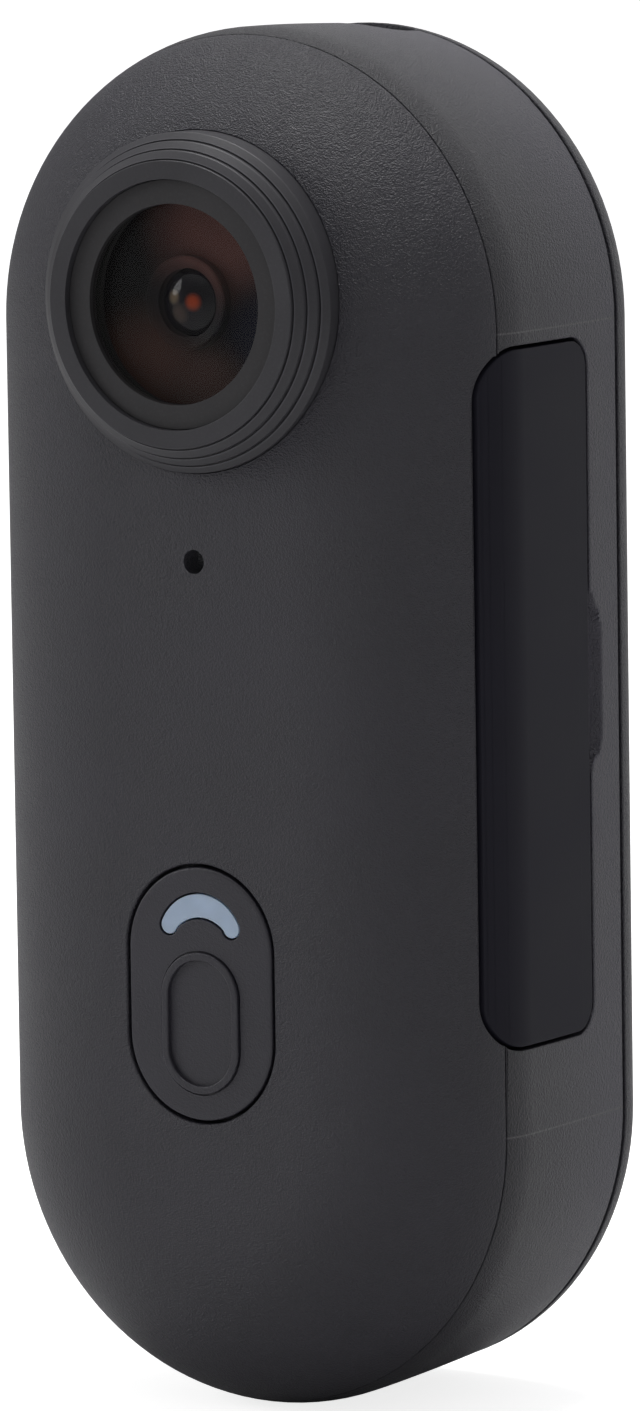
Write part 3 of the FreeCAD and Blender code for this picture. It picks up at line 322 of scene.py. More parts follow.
def openingBlock(name, x0, shrink=0.0, frontShrink=0.0):
    front, rear = opening["front"] + frontShrink, opening["rear"] - shrink
    piece = block(name, (x0, front, opening["bottom"] + shrink),
                  (outside["side"], rear, opening["top"] - shrink))
    for depth, radius in ((front, opening["frontRadius"]), (rear, opening["rearRadius"])):
        roll(piece, radius - shrink, opening["cornerSteps"], lambda e: runsAlong(e, 0)
             and abs(middle(e).y - depth) < slack)
    return piece


def besideOpening(m):
    return opening["bottom"] - opening["margin"] < m.z < opening["top"] + opening["margin"]


# Front half of the case: domed face, mouth for the lens, microphone hole and the oval well.
shell = {"mouth": 7.73, "mouthSteps": 140, "mouthEdge": 0.03, "mouthFit": 0.05, "mouthCutRear": -10,
         "micRadius": 0.54, "micHeight": 7.86, "micEdge": 0.03, "micReach": 1, "micTop": 9,
         "wellWidth": 7.98, "wellHeight": 11.92, "wellAt": -11.87, "wellEdge": 0.1, "wellReach": 5,
         "wellTop": 7, "cutRear": -15, "ring": 0.3, "outerSteps": 34, "innerSteps": 20}


def makeFrontShell():
    front, split, wall = body["front"], body["split"], body["wall"]
    mouth, lens, mic = shell["mouth"], body["lensHeight"], shell["micHeight"]
    outer = skinRun(-90, angleAt(split), shell["outerSteps"])
    inner = skinRun(angleAt(split, wall), -90, shell["innerSteps"], wall)
    piece = sweepBody("frontShellSkin", outer + inner)
    closeLoops(piece, front, front + wall)
    ringFace(piece, front, shell["ring"])
    combine(piece, rod("mouth", mouth, (0, outside["front"], lens), (0, shell["mouthCutRear"], lens),
                       shell["mouthSteps"]))
    combine(piece, rod("micHole", shell["micRadius"], (0, outside["front"], mic),
                       (0, shell["cutRear"], mic)))
    combine(piece, pillBlock("well", shell["wellWidth"], shell["wellHeight"], shell["wellAt"],
                             outside["front"], shell["cutRear"]))
    combine(piece, openingBlock("opening", opening["floor"] - opening["shellCut"]))
    soften(piece, shell["wellEdge"], lambda m: m.y < front + slack
           and abs(m.x) < shell["wellReach"] and m.z < shell["wellTop"], segments=3)
    soften(piece, shell["micEdge"], lambda m: m.y < front + slack
           and abs(m.x) < shell["micReach"] and shell["wellTop"] < m.z < shell["micTop"])
    soften(piece, shell["mouthEdge"], lambda m: abs(fromLens(m) - mouth) < slack
           and abs(m.y - skinDepth(m)) < shell["mouthFit"])
    soften(piece, body["edge"], lambda m: abs(m.y - split) < slack)
    soften(piece, opening["edge"], lambda m: m.x > opening["shellSkin"]
           and m.y < split - opening["margin"] and besideOpening(m))
    return piece


# Band round the sides, with the door's pocket, the finger notch and the strap recess.
band = {"outerSteps": 16, "innerSteps": 12, "pocketFrontX": 11.05, "pocketInset": 0.4,
        "pocketOverlap": 0.2, "recessHalf": 2.8, "recessFront": -4.65, "recessFloor": 28.7,
        "recessTop": 30.8, "recessWall": 0.8, "recessCorner": 1.2, "recessSteps": 10,
        "notchDepth": 0.75, "notchHalf": 3.95, "notchFloorHalf": 2.6, "notchAt": 1.7, "notchCut": 0.6,
        "notchSlope": 0.8, "notchOverlap": 0.1, "notchCorner": 0.5, "notchSteps": 5,
        "socketAt": -11.3, "socketHeight": 1.9, "socketThick": 3.4, "socketLength": 9.14,
        "socketDepth": 6, "socketSteps": 48, "cardAt": -8.2, "cardHeight": -4.6, "cardHalfThick": 0.8,
        "cardHalf": 6.1, "cardFrom": 9, "cardTo": 11.5}
# the rear rim below the recess, and the recess's own rear and upper edges
bandRim = {"edge": 0.06, "belowRecess": 28, "recessHalf": 2.9, "recessTop": 31, "recessFront": -5}


def makeMiddleFrame():
    start, wall = body["split"] + body["splitGap"], body["wall"]
    outer = skinRun(angleAt(start), 0, band["outerSteps"]) + sideRun()
    inner = sideRun(wall)[::-1] + skinRun(0, angleAt(start, wall), band["innerSteps"], wall)
    piece = sweepBody("middleFrameSkin", outer + inner, closed=True)
    tidyMesh()
    addPocket(piece, start)
    side, walls = band["recessHalf"] + band["recessWall"], band["recessWall"]
    combine(piece, block("recessBox", (-side, band["recessFront"] - walls, band["recessFloor"] - walls),
                         (side, body["rear"], band["recessTop"])), "UNION")
    combine(piece, openingBlock("opening", opening["floor"]))
    combine(piece, makeRecess())
    soften(piece, body["edge"], lambda m: abs(m.y - start) < slack)
    combine(piece, makeNotch())
    combine(piece, makeSocketMouth())
    at, height = band["cardAt"], band["cardHeight"]
    thick, half = band["cardHalfThick"], band["cardHalf"]
    combine(piece, block("cardMouth", (band["cardFrom"], at - thick, height - half),
                         (band["cardTo"], at + thick, height + half)))
    soften(piece, opening["edge"], lambda m: m.x > opening["bandSkin"] and besideOpening(m)
           and start + opening["margin"] < m.y < opening["rear"] + opening["rearReach"])
    soften(piece, bandRim["edge"], onRim)
    return piece


def onRim(m):
    if m.z > bandRim["recessTop"] and m.y > bandRim["recessFront"]:
        return True
    inPlace = m.z < bandRim["belowRecess"] or abs(m.x) < bandRim["recessHalf"]
    return m.y > body["rear"] - slack and inPlace


def addPocket(piece, start):
    # behind the door: a box in the band, and a smaller one that reaches into the front half
    low, high = opening["bottom"] - opening["sideWall"], opening["top"] + opening["sideWall"]
    back = opening["rear"] + opening["sideWall"]
    inside, inset = opening["floor"] - opening["floorWall"], band["pocketInset"]
    rearBox = block("pocketRear", (inside, start, low), (opening["bandSkin"], back, high))
    combine(piece, rearBox, "UNION")
    frontBox = block("pocketFront", (inside, opening["front"], low + inset),
                     (band["pocketFrontX"], start + band["pocketOverlap"], high - inset))
    combine(piece, frontBox, "UNION")


def makeRecess():
    half, front = band["recessHalf"], band["recessFront"]
    piece = block("recess", (-half, front, band["recessFloor"]), (half, 0, outside["top"]))
    roll(piece, band["recessCorner"], band["recessSteps"], lambda e: runsAlong(e, 2)
         and abs(middle(e).y - front) < slack)
    return piece


def makeNotch():
    x0, x1 = halfWidth - band["notchCut"], outside["side"]
    near, far = opening["rear"] - band["notchOverlap"], opening["rear"] + band["notchDepth"]
    half, floorHalf, at = band["notchHalf"], band["notchFloorHalf"], band["notchAt"]
    piece = drawLine("notch", [(x0, near, at - half), (x0, far, at - floorHalf),
                               (x0, far, at + floorHalf), (x0, near, at + half)], closed=True)
    bpy.ops.mesh.edge_face_add()
    extrude(((x1 - x0) * mm, 0, 0))
    # the cut widens outwards, so that its walls slope
    spread = (x1 - x0) * band["notchSlope"] * mm
    midway = (near + far) / 2
    pick(piece, "VERT", lambda v: v.co.x > halfWidth * mm and v.co.y > midway * mm)
    bpy.ops.transform.translate(value=(0, spread, 0))
    for side in (1, -1):
        pick(piece, "VERT", lambda v: v.co.x > halfWidth * mm and (v.co.z / mm - at) * side > 0)
        bpy.ops.transform.translate(value=(0, 0, side * spread))
    tidyMesh()
    roll(piece, band["notchCorner"], band["notchSteps"], lambda e: runsAlong(e, 0)
         and middle(e).y > midway)
    return piece


def makeSocketMouth():
    # an oval slot that runs in from the side, with its long way upright
    piece = pillBlock("socketMouth", band["socketThick"], band["socketLength"], 0, 0,
                      band["socketDepth"], band["socketSteps"])
    piece.rotation_euler = (0, 0, math.pi / 2)
    piece.location = (halfWidth * mm, band["socketAt"] * mm, band["socketHeight"] * mm)
    choose(piece)
    settle()
    return piece


# Back plate: rounded rear edge and a rim that goes into the band.
cover = {"front": -2.11, "radius": 2.0, "half": 13.19, "floor": -1.2, "rimFront": -3.43,
         "rimOuter": 11.9, "rimInner": 11.05, "edge": 0.08, "edgeFrom": 12.5, "arcSteps": 12,
         "roomGap": 0.1, "roomFront": -8, "roomTop": 33}


def makeRearCover():
    half, radius, front, flat = cover["half"], cover["radius"], cover["front"], body["flat"]
    arc = []
    for i in range(cover["arcSteps"] + 1):
        angle = math.radians(90 * i / cover["arcSteps"])
        arc.append((half - radius + radius * math.cos(angle), -radius + radius * math.sin(angle)))
    line = [(flat, cover["floor"]), (cover["rimInner"], cover["floor"]),
            (cover["rimInner"], cover["rimFront"]), (cover["rimOuter"], cover["rimFront"]),
            (cover["rimOuter"], front), (half, front)] + arc + [(flat, 0.0)]
    piece = sweepBody("rearCoverSkin", line)
    closeLoops(piece, cover["floor"], 0.0)
    # room for the walls of the recess
    side = band["recessHalf"] + band["recessWall"] + cover["roomGap"]
    low = band["recessFloor"] - band["recessWall"] - cover["roomGap"]
    combine(piece, block("recessRoom", (-side, cover["roomFront"], low),
                         (side, front, cover["roomTop"])))
    soften(piece, cover["edge"], lambda m: abs(m.y - front) < slack and outward(m) > cover["edgeFrom"])
    return piece


# Side door: a piece of the body's skin with a rolled front edge over its hinge.
door = {"gap": 0.15, "frontGap": 0.17, "inner": 12.0, "skinFrom": 12.4, "skinSteps": 44,
        "hingeX": 12.441, "hingeY": -12.821, "barrelRadius": 0.58, "barrelHalf": 13.17, "centre": 1.65,
        "edge": 0.08, "noseEdge": 0.14, "noseFit": 0.02, "noseHalf": 13.5}


def makeSideDoor():
    piece = sweepBody("sideDoorSkin", skinRun(-90, 0, door["skinSteps"]) + sideRun())
    closeLoops(piece, body["front"], body["rear"])
    outline = openingBlock("doorOutline", door["inner"], door["gap"], door["frontGap"])
    combine(piece, outline, "INTERSECT")
    nose, centre = opening["front"] + door["frontGap"], door["centre"]
    soften(piece, door["noseEdge"], lambda m: m.y < nose + door["noseFit"]
           and m.x > door["skinFrom"] and abs(m.z - centre) < door["noseHalf"], segments=4)
    soften(piece, door["edge"], lambda m: m.x > door["skinFrom"])
    hingeX, hingeY, half = door["hingeX"], door["hingeY"], door["barrelHalf"]
    combine(piece, rod("barrel", door["barrelRadius"], (hingeX, hingeY, centre - half),
                       (hingeX, hingeY, centre + half)), "UNION")
    return piece


# Collar with three sloping steps, each with a fine groove at its foot.
lensRing = {"bore": 5.65, "front": -19.1, "groove": 0.07, "grooveDepth": 0.14, "seat": -15.1,
            "shelf": -17.1, "shelfRadius": 4.85, "edge": 0.05, "boreEdge": 0.04,
            "corners": ((6.5, -19.1), (6.93, -18.68), (7.32, -18.18), (7.7, -17.69)),
            "drops": (0.12, 0.14, 0.14)}


def makeCollar():
    ring = lensRing
    corners = ring["corners"]
    outline = [(ring["bore"], ring["front"])]
    for (radius, y), drop, (nextRadius, nextY) in zip(corners, ring["drops"], corners[1:]):
        foot, side = y + drop, radius + ring["groove"]
        floor = foot + ring["grooveDepth"]
        rise = (nextY - foot) / (nextRadius - radius) * ring["groove"]
        outline += [(radius, y), (radius, floor), (side, floor), (side, foot + rise)]
    outline += [corners[-1], (corners[-1][0], ring["seat"]), (ring["shelfRadius"], ring["seat"]),
                (ring["shelfRadius"], ring["shelf"]), (ring["bore"], ring["shelf"])]
    piece = turned("lensCollarRing", outline, steps=fineTurn)
    soften(piece, ring["edge"], lambda m: any(abs(fromLens(m) - radius) < slack
           and abs(m.y - y) < slack for radius, y in corners), segments=3)
    soften(piece, ring["boreEdge"], lambda m: fromLens(m) < ring["bore"] + slack
           and m.y < ring["front"] + slack)
    return piece


# Flat ring inside the collar.
bezel = {"inner": 4.53, "outer": 5.63, "front": -18.77, "rear": -18.25, "edge": 0.03}


def makeBezel():
    near, far, front, rear = bezel["inner"], bezel["outer"], bezel["front"], bezel["rear"]
    piece = turned("lensBezelRing", [(near, rear), (near, front), (far, front), (far, rear)],
                   steps=fineTurn)
    soften(piece, bezel["edge"])
    return piece


# Round window: its middle stands up into the flat ring.
window = {"rim": 5.5, "raised": 4.51, "front": -18.6, "step": -18.25, "rear": -17.9, "edge": 0.05}


def makeWindow():
    rim, raised = window["rim"], window["raised"]
    front, step, rear = window["front"], window["step"], window["rear"]
    piece = turned("lensWindowGlass", [(0, front), (raised, front), (raised, step), (rim, step),
                                       (rim, rear), (0, rear)], closed=False, steps=fineTurn)
    soften(piece, window["edge"], lambda m: m.y < front + slack, segments=3)
    return piece


# Black plate round the front element, with the element's mount standing up in it.
baffle = {"rim": 4.8, "front": -17.3, "rear": -15.1, "bore": 4.4, "floor": -16.9, "hole": 2.3,
          "mount": 2.14, "mountFront": -17.84, "mountSlope": 0.05, "mountRim": 2.02, "cone": 1.56,
          "coneFloor": -17.62, "foot": -17.1, "edge": 0.03}


def makeBaffle():
    size = baffle
    piece = turned("lensBafflePlate", [
        (size["rim"], size["front"]), (size["rim"], size["rear"]), (size["bore"], size["rear"]),
        (size["bore"], size["floor"]), (size["hole"], size["floor"]), (size["cone"], size["foot"]),
        (size["cone"], size["coneFloor"]), (size["mountRim"], size["mountFront"]),
        (size["mount"], size["mountFront"] + size["mountSlope"]), (size["mount"], size["front"])])
    soften(piece, size["edge"], lambda m: m.y < size["coneFloor"] + slack)
    return piece


# Front element: a dome of radius "bulge" on a stepped foot.
frontGlass = {"pole": -17.86, "bulge": 2.3, "rim": 1.5, "neck": -16.9, "radius": 2.0,
              "shoulder": -16.6, "rear": -15.7, "centreRear": -15.85, "domeSteps": 18, "turnSteps": 96}


def makeFrontLens():
    size = frontGlass
    outline = []
    for i in range(size["domeSteps"] + 1):
        reach = size["rim"] * i / size["domeSteps"]
        depth = size["pole"] + size["bulge"] - math.sqrt(size["bulge"] ** 2 - reach ** 2)
        outline.append((reach, depth))
    outline += [(size["rim"], size["neck"]), (size["radius"], size["shoulder"]),
                (size["radius"], size["rear"]), (0, size["centreRear"])]
    return turned("frontLensGlass", outline, closed=False, steps=size["turnSteps"])


# Oval key: pad, raised rim round its dish, and the slot for the crescent window. The cuts start
# the length "ahead" in front of it.
key = {"width": 7.7, "height": 11.62, "at": -11.87, "front": -17.45, "rear": -15.7, "edge": 0.12,
       "ring": 0.2, "flange": 9.3, "flangeHeight": 13.16, "flangeFront": -16.2, "dishWidth": 4.14,
       "dishHeight": 6.5, "dishAt": -13.2, "dishDepth": 0.08, "rimHeight": 0.16, "rimWidth": 0.36,
       "rimEdge": 0.08, "rimRoot": 0.3, "groove": 0.08, "grooveDepth": 0.1, "stem": 1.0,
       "stemRoot": 0.2, "stemRear": -11.65, "slotGap": 0.07, "slotEdge": 0.04, "slotHalf": 2.4,
       "slotFrom": -9.4, "ahead": 1}


def ovalOnKey(name, grow, front, rear):
    # an oval about the dish, wider than it by grow on every side
    return pillBlock(name, key["dishWidth"] + 2 * grow, key["dishHeight"] + 2 * grow, key["dishAt"],
                     front, rear)


def makeKey():
    front, rear, at = key["front"], key["rear"], key["at"]
    rimFront, ahead = front - key["rimHeight"], key["ahead"]
    piece = pillBlock("shutterKeyPad", key["width"], key["height"], at, front, rear)
    soften(piece, key["edge"], lambda m: abs(m.y - front) < hair, segments=3)
    ringFace(piece, front, key["ring"])
    flange = pillBlock("flange", key["flange"], key["flangeHeight"], at, key["flangeFront"], rear)
    combine(piece, flange, "UNION")
    combine(piece, ovalOnKey("rimGroove", key["groove"], rimFront - ahead, front + key["grooveDepth"]))
    combine(piece, ovalOnKey("rim", 0, rimFront, front + key["rimRoot"]), "UNION")
    combine(piece, ovalOnKey("dish", -key["rimWidth"], rimFront - ahead, front + key["dishDepth"]))
    combine(piece, crescent("slot", front - ahead, shell["cutRear"], key["slotGap"]))
    combine(piece, rod("stem", key["stem"], (0, rear - key["stemRoot"], key["dishAt"]),
                       (0, key["stemRear"], key["dishAt"])), "UNION")
    soften(piece, key["rimEdge"], lambda m: abs(m.y - rimFront) < hair, segments=3)
    soften(piece, key["slotEdge"], lambda m: abs(m.y - front) < hair
           and abs(m.x) < key["slotHalf"] and m.z > key["slotFrom"])
    return piece


# Crescent light window: heights above the pad's middle, half widths, and the light guide behind it.
moon = {"top": 4.59, "inner": 3.5, "shoulder": 3.3, "foot": 2.98, "low": 2.66, "half": 2.07,
        "tip": 1.72, "innerHalf": 1.26, "front": -17.41, "rear": -15.7, "edge": 0.06,
        "outerSteps": 28, "endSteps": 10, "innerSteps": 22, "guideRadius": 0.5, "guideHeight": 4.02,
        "guideFront": -15.9, "guideRear": -10.8, "guideSteps": 32}


def arcPoints(start, through, end, count):
    # places on the circle through three points, from the first to just before the last
    (ax, az), (bx, bz), (cx, cz) = start, through, end
    a, b, c = ax ** 2 + az ** 2, bx ** 2 + bz ** 2, cx ** 2 + cz ** 2
    twice = 2 * (ax * (bz - cz) + bx * (cz - az) + cx * (az - bz))
    ux = (a * (bz - cz) + b * (cz - az) + c * (az - bz)) / twice
    uz = (a * (cx - bx) + b * (ax - cx) + c * (bx - ax)) / twice
    radius = math.hypot(ax - ux, az - uz)
    first, between, last = [math.atan2(z - uz, x - ux) for x, z in (start, through, end)]
    sweep = (last - first) % (2 * math.pi)
    if (between - first) % (2 * math.pi) > sweep:
        sweep -= 2 * math.pi
    angles = [first + sweep * i / count for i in range(count)]
    return [(ux + radius * math.cos(angle), uz + radius * math.sin(angle)) for angle in angles]


def crescent(name, front, rear, grow):
    at = key["at"]
    shoulder, foot, low = at + moon["shoulder"], at + moon["foot"], at + moon["low"] - grow
    half, innerHalf = moon["half"] + grow, moon["innerHalf"] - grow
    left, right = (-half, shoulder), (half, shoulder)
    footLeft, footRight = (-innerHalf, foot), (innerHalf, foot)
    outline = arcPoints(left, (0, at + moon["top"] + grow), right, moon["outerSteps"])
    outline += arcPoints(right, (moon["tip"], low), footRight, moon["endSteps"])
    outline += arcPoints(footRight, (0, at + moon["inner"] - grow), footLeft, moon["innerSteps"])
    outline += arcPoints(footLeft, (-moon["tip"], low), left, moon["endSteps"])
    piece = drawLine(name, [(x, front, z) for x, z in outline], closed=True)
    bpy.ops.mesh.edge_face_add()
    extrude((0, (rear - front) * mm, 0))
    tidyMesh()
    return piece


def makeLightWindow():
    piece = crescent("lightWindowLens", moon["front"], moon["rear"], 0)
    soften(piece, moon["edge"], lambda m: abs(m.y - moon["front"]) < hair)
    height = key["at"] + moon["guideHeight"]
    combine(piece, rod("guide", moon["guideRadius"], (0, moon["guideFront"], height),
                       (0, moon["guideRear"], height), moon["guideSteps"]), "UNION")
    return piece


# Finishes. Each one is built of nodes, at the real scale of the grain.
white = (1, 1, 1, 1)
noiseSpan = (0.3, 0.7)  # most of a noise's values lie in here
grainSpan = (0.5, 0.8)  # and those of its lightest grains in here
edgeSpan = (0.4, 0.8)  # openness behind the surface, from a sharp edge to a flat place


def addNode(tree, kind, inputs=None, **settings):
    node = tree.nodes.new(kind)
    for name, value in settings.items():
        setattr(node, name, value)
    for name, value in (inputs or {}).items():
        if isinstance(value, bpy.types.NodeSocket):
            tree.links.new(value, node.inputs[name])
        else:
            node.inputs[name].default_value = value
    return node


def newFinish(name):
    finish = bpy.data.materials.new(name)
    finish.use_nodes = True
    tree = finish.node_tree
    return finish, tree, tree.nodes["Principled BSDF"]


def objectPlace(tree):
    return addNode(tree, "ShaderNodeTexCoord").outputs["Object"]


def maths(tree, operation, *values):
    return addNode(tree, "ShaderNodeMath", dict(enumerate(values)), operation=operation).outputs[0]


def noise(tree, size, detail=2.0, roughness=0.5, stretch=(1, 1, 1)):
    spread = addNode(tree, "ShaderNodeMapping", {"Vector": objectPlace(tree), "Scale": stretch})
    return addNode(tree, "ShaderNodeTexNoise", {
        "Vector": spread.outputs["Vector"], "Scale": 1 / (size * mm), "Detail": detail,
        "Roughness": roughness}).outputs["Fac"]


def ramp(tree, value, low, high, start, end, kind="LINEAR"):
    return addNode(tree, "ShaderNodeMapRange", {"Value": value, "From Min": low, "From Max": high,
                                                "To Min": start, "To Max": end},
                   interpolation_type=kind).outputs["Result"]


def spreadOut(tree, value, start, end):
    return ramp(tree, value, *noiseSpan, start, end)


def edgeWearAndGlint(tree, reach, amount):
    # next to an outer edge there is little stuff behind the surface; this mask paints the colour
    # lighter there, partly as wear and partly as a painted edge highlight
    thin = addNode(tree, "ShaderNodeAmbientOcclusion", {"Distance": reach * mm}, inside=True,
                   only_local=True, samples=4)
    return ramp(tree, thin.outputs["AO"], *edgeSpan, amount, 0.0)


def blendColours(tree, factor, first, second, mode="MIX"):
    return addNode(tree, "ShaderNodeMix", {0: factor, 6: first, 7: second}, data_type="RGBA",
                   blend_type=mode).outputs[2]


def rgb(colour, gain=1.0):
    return (colour[0] * gain, colour[1] * gain, colour[2] * gain, 1.0)


def twoTones(tree, factor, colour, low, high):
    return blendColours(tree, factor, rgb(colour, low), rgb(colour, high))


def dress(tree, shader, base, rough, height, look):
    # joins colour, roughness and relief to the shader
    tree.links.new(base, shader.inputs["Base Color"])
    tree.links.new(rough, shader.inputs["Roughness"])
    relief = addNode(tree, "ShaderNodeBump", {"Height": height, "Strength": look["bump"],
                                              "Distance": look["depth"] * mm})
    tree.links.new(relief.outputs["Normal"], shader.inputs["Normal"])


# Painted shade on the band: its colour is painted darker at the front and lighter towards the back, a
# painted shade and sheen, and a fine mould line at each end's centre is painted lighter, a painted
# highlight along it.
bandShading = {"frontShade": 0.65, "rearSheen": 1.9, "line": (0.072, 0.07, 0.076), "lineCore": 0.02,
         "lineReach": 0.06}


def paintBandShadeAndLine(tree, base):
    place = addNode(tree, "ShaderNodeSeparateXYZ", {"Vector": objectPlace(tree)})
    # painted shade at the front, painted sheen towards the back
    backwards = ramp(tree, place.outputs["Y"], body["split"] * mm, body["rear"] * mm, 0.0, 1.0)
    paintedShade = twoTones(tree, backwards, white, bandShading["frontShade"], bandShading["rearSheen"])
    base = blendColours(tree, 1.0, base, paintedShade, "MULTIPLY")
    # the mould line, painted lighter: a painted highlight along it
    level = maths(tree, "ABSOLUTE", place.outputs["Z"])
    apart = maths(tree, "ABSOLUTE", maths(tree, "ADD", level, -body["endCentre"] * mm))
    onLine = ramp(tree, apart, bandShading["lineCore"] * mm, bandShading["lineReach"] * mm, 1.0, 0.0)
    return blendColours(tree, onLine, base, rgb(bandShading["line"]))


def coat(tree, look, colour, rough, wearAndGlint, mottle, cloudy, fine):
    # mottled colour with lighter grains, edges painted lighter as wear and as a painted edge highlight,
    # and a roughness that is less at the edges
    base = twoTones(tree, spreadOut(tree, cloudy, 0.0, 1.0), colour, 1 - mottle, 1 + mottle)
    grains = ramp(tree, fine, *grainSpan, 0.0, look["grainShare"])
    base = blendColours(tree, grains, base, rgb(colour, look["grainTone"]))
    wornAndGlint = edgeWearAndGlint(tree, look["wornGlintReach"], wearAndGlint)
    base = blendColours(tree, wornAndGlint, base, rgb(colour, look["wornGlintTone"]))
    return base, maths(tree, "MULTIPLY_ADD", wornAndGlint, -look["polish"], spreadOut(tree, cloudy, *rough))


# Sizes of the plastic's clouds, of its specks as a share of the grain, and of the worn edges, then how
# much lighter its grain and its worn edges are (wear and a painted edge highlight), and how much
# smoother the edges get.
plastic = {"cloud": 6.0, "speck": 0.45, "wornGlintReach": 0.08, "grainTone": 1.6, "grainShare": 0.25,
           "wornGlintTone": 2.6, "polish": 0.6}


def moulded(name, colour, grain=0.16, depth=0.006, rough=(0.5, 0.6), mottle=0.12, wearAndGlint=0.3,
            specular=0.3, bump=0.6, bandShaded=False):
    # matte plastic: fine grain, faint mottling and lighter edges, worn and with a painted edge
    # highlight
    finish, tree, shader = newFinish(name)
    cloudy = noise(tree, plastic["cloud"], detail=3.0)
    fine = noise(tree, grain, detail=3.0, roughness=0.65)
    speck = noise(tree, grain * plastic["speck"], detail=1.0)
    base, smooth = coat(tree, plastic, colour, rough, wearAndGlint, mottle, cloudy, fine)
    # the band gets its painted shade, painted sheen and painted highlight on the mould line
    if bandShaded:
        base = paintBandShadeAndLine(tree, base)
    relief = {"bump": bump, "depth": depth}
    dress(tree, shader, base, smooth, maths(tree, "ADD", fine, speck), relief)
    shader.inputs["Specular IOR Level"].default_value = specular
    return finish


# The same for the satin coat, with the strength and depth of its relief.
satin = {"grain": 0.12, "cloud": 4.0, "wornGlintReach": 0.06, "mottle": 0.08, "grainTone": 1.6,
         "grainShare": 0.4, "wornGlintTone": 3.0, "polish": 0.5, "bump": 0.6, "depth": 0.006}


def satinMetal(name, colour, rough=(0.42, 0.5), wearAndGlint=0.45, specular=0.35):
    # satin coat over turned metal: fine even grain, bright edges, worn and with a painted edge
    # highlight
    finish, tree, shader = newFinish(name)
    fine = noise(tree, satin["grain"], detail=3.0, roughness=0.6)
    cloudy = noise(tree, satin["cloud"])
    base, smooth = coat(tree, satin, colour, rough, wearAndGlint, satin["mottle"], cloudy, fine)
    dress(tree, shader, base, smooth, fine, satin)
    shader.inputs["Specular IOR Level"].default_value = specular
    return finish


# the round tints below are painted reflections
reflectionCore = 0.25  # part of a tint's radius that keeps its full colour


def paintReflections(tree, base, paintedReflections):
    # soft round patches of painted reflection: place, radius and colour of each
    place = objectPlace(tree)
    for spot, radius, colour in paintedReflections:
        apart = addNode(tree, "ShaderNodeVectorMath", {0: place, 1: Vector(spot) * mm},
                        operation="DISTANCE").outputs["Value"]
        inside = ramp(tree, apart, radius * reflectionCore * mm, radius * mm, 1.0, 0.0, "SMOOTHSTEP")
        base = blendColours(tree, inside, base, rgb(colour))
    return base


# The other finishes: size of each pattern, its tones, its roughness, and its relief.
polished = {"smear": 3.0, "stretch": (1, 1, 2.5), "tones": (0.96, 1.0), "dullSpan": (0.45, 0.8),
            "dull": 0.03, "bend": 1.5}


def glass(name, colour, clear=1.0, alpha=1.0, paintedReflections=(), specular=0.5):
    # polished glass with faint smears in its roughness, and painted reflections laid on its colour
    # where given
    finish, tree, shader = newFinish(name)
    smear = noise(tree, polished["smear"], detail=4.0, roughness=0.6, stretch=polished["stretch"])
    base = twoTones(tree, spreadOut(tree, smear, 0.0, 1.0), colour, *polished["tones"])
    tree.links.new(paintReflections(tree, base, paintedReflections), shader.inputs["Base Color"])
    dull = ramp(tree, smear, *polished["dullSpan"], 0.0, polished["dull"])
    tree.links.new(dull, shader.inputs["Roughness"])
    shader.inputs["Transmission Weight"].default_value = clear
    shader.inputs["IOR"].default_value = polished["bend"]
    shader.inputs["Alpha"].default_value = alpha
    shader.inputs["Specular IOR Level"].default_value = specular
    return finish


# the blackened plate's edges are painted a lighter violet: wear and a painted highlight
blackened = {"cloud": 0.5, "tones": (0.8, 1.2), "wornGlintReach": 0.1, "wornAndGlint": 0.8,
             "wornGlintColour": (0.05, 0.04, 0.06), "rough": (0.45, 0.55), "bump": 0.2, "depth": 0.004,
             "specular": 0.15}


def opticBlack(name, colour, paintedReflections):
    # blackened plate: soft brown, red and violet painted reflections on its colour, and its edges
    # painted a lighter violet, a painted highlight with wear
    finish, tree, shader = newFinish(name)
    fine = noise(tree, blackened["cloud"], detail=3.0)
    base = paintReflections(tree, twoTones(tree, fine, colour, *blackened["tones"]), paintedReflections)
    wornAndGlint = edgeWearAndGlint(tree, blackened["wornGlintReach"], blackened["wornAndGlint"])
    base = blendColours(tree, wornAndGlint, base, rgb(blackened["wornGlintColour"]))
    dress(tree, shader, base, spreadOut(tree, fine, *blackened["rough"]), fine, blackened)
    shader.inputs["Specular IOR Level"].default_value = blackened["specular"]
    return finish


soft = {"cloud": 2.0, "pore": 0.08, "tones": (0.75, 1.3), "rough": (0.7, 0.85), "bump": 0.4,
        "depth": 0.01, "sheen": 0.15}


def rubber(name, colour):
    finish, tree, shader = newFinish(name)
    cloudy, pores = noise(tree, soft["cloud"]), noise(tree, soft["pore"])
    base = twoTones(tree, cloudy, colour, *soft["tones"])
    dress(tree, shader, base, spreadOut(tree, cloudy, *soft["rough"]), pores, soft)
    shader.inputs["Sheen Weight"].default_value = soft["sheen"]
    return finish


rolled = {"line": 0.9, "patch": 3.0, "dullSpan": (0.1, 0.45), "tones": (0.85, 1.05), "bump": 0.25,
          "depth": 0.003}


def sheetMetal(name, colour, rough=(0.22, 0.36), stretch=(1, 1, 14)):
    # rolled sheet: long fine scratches and dull patches
    finish, tree, shader = newFinish(name)
    lines = noise(tree, rolled["line"], detail=3.0, roughness=0.6, stretch=stretch)
    cloudy = noise(tree, rolled["patch"], detail=3.0)
    dull = ramp(tree, maths(tree, "MULTIPLY", lines, cloudy), *rolled["dullSpan"], *rough)
    base = twoTones(tree, cloudy, colour, *rolled["tones"])
    dress(tree, shader, base, dull, lines, rolled)
    shader.inputs["Metallic"].default_value = 1.0
    return finish


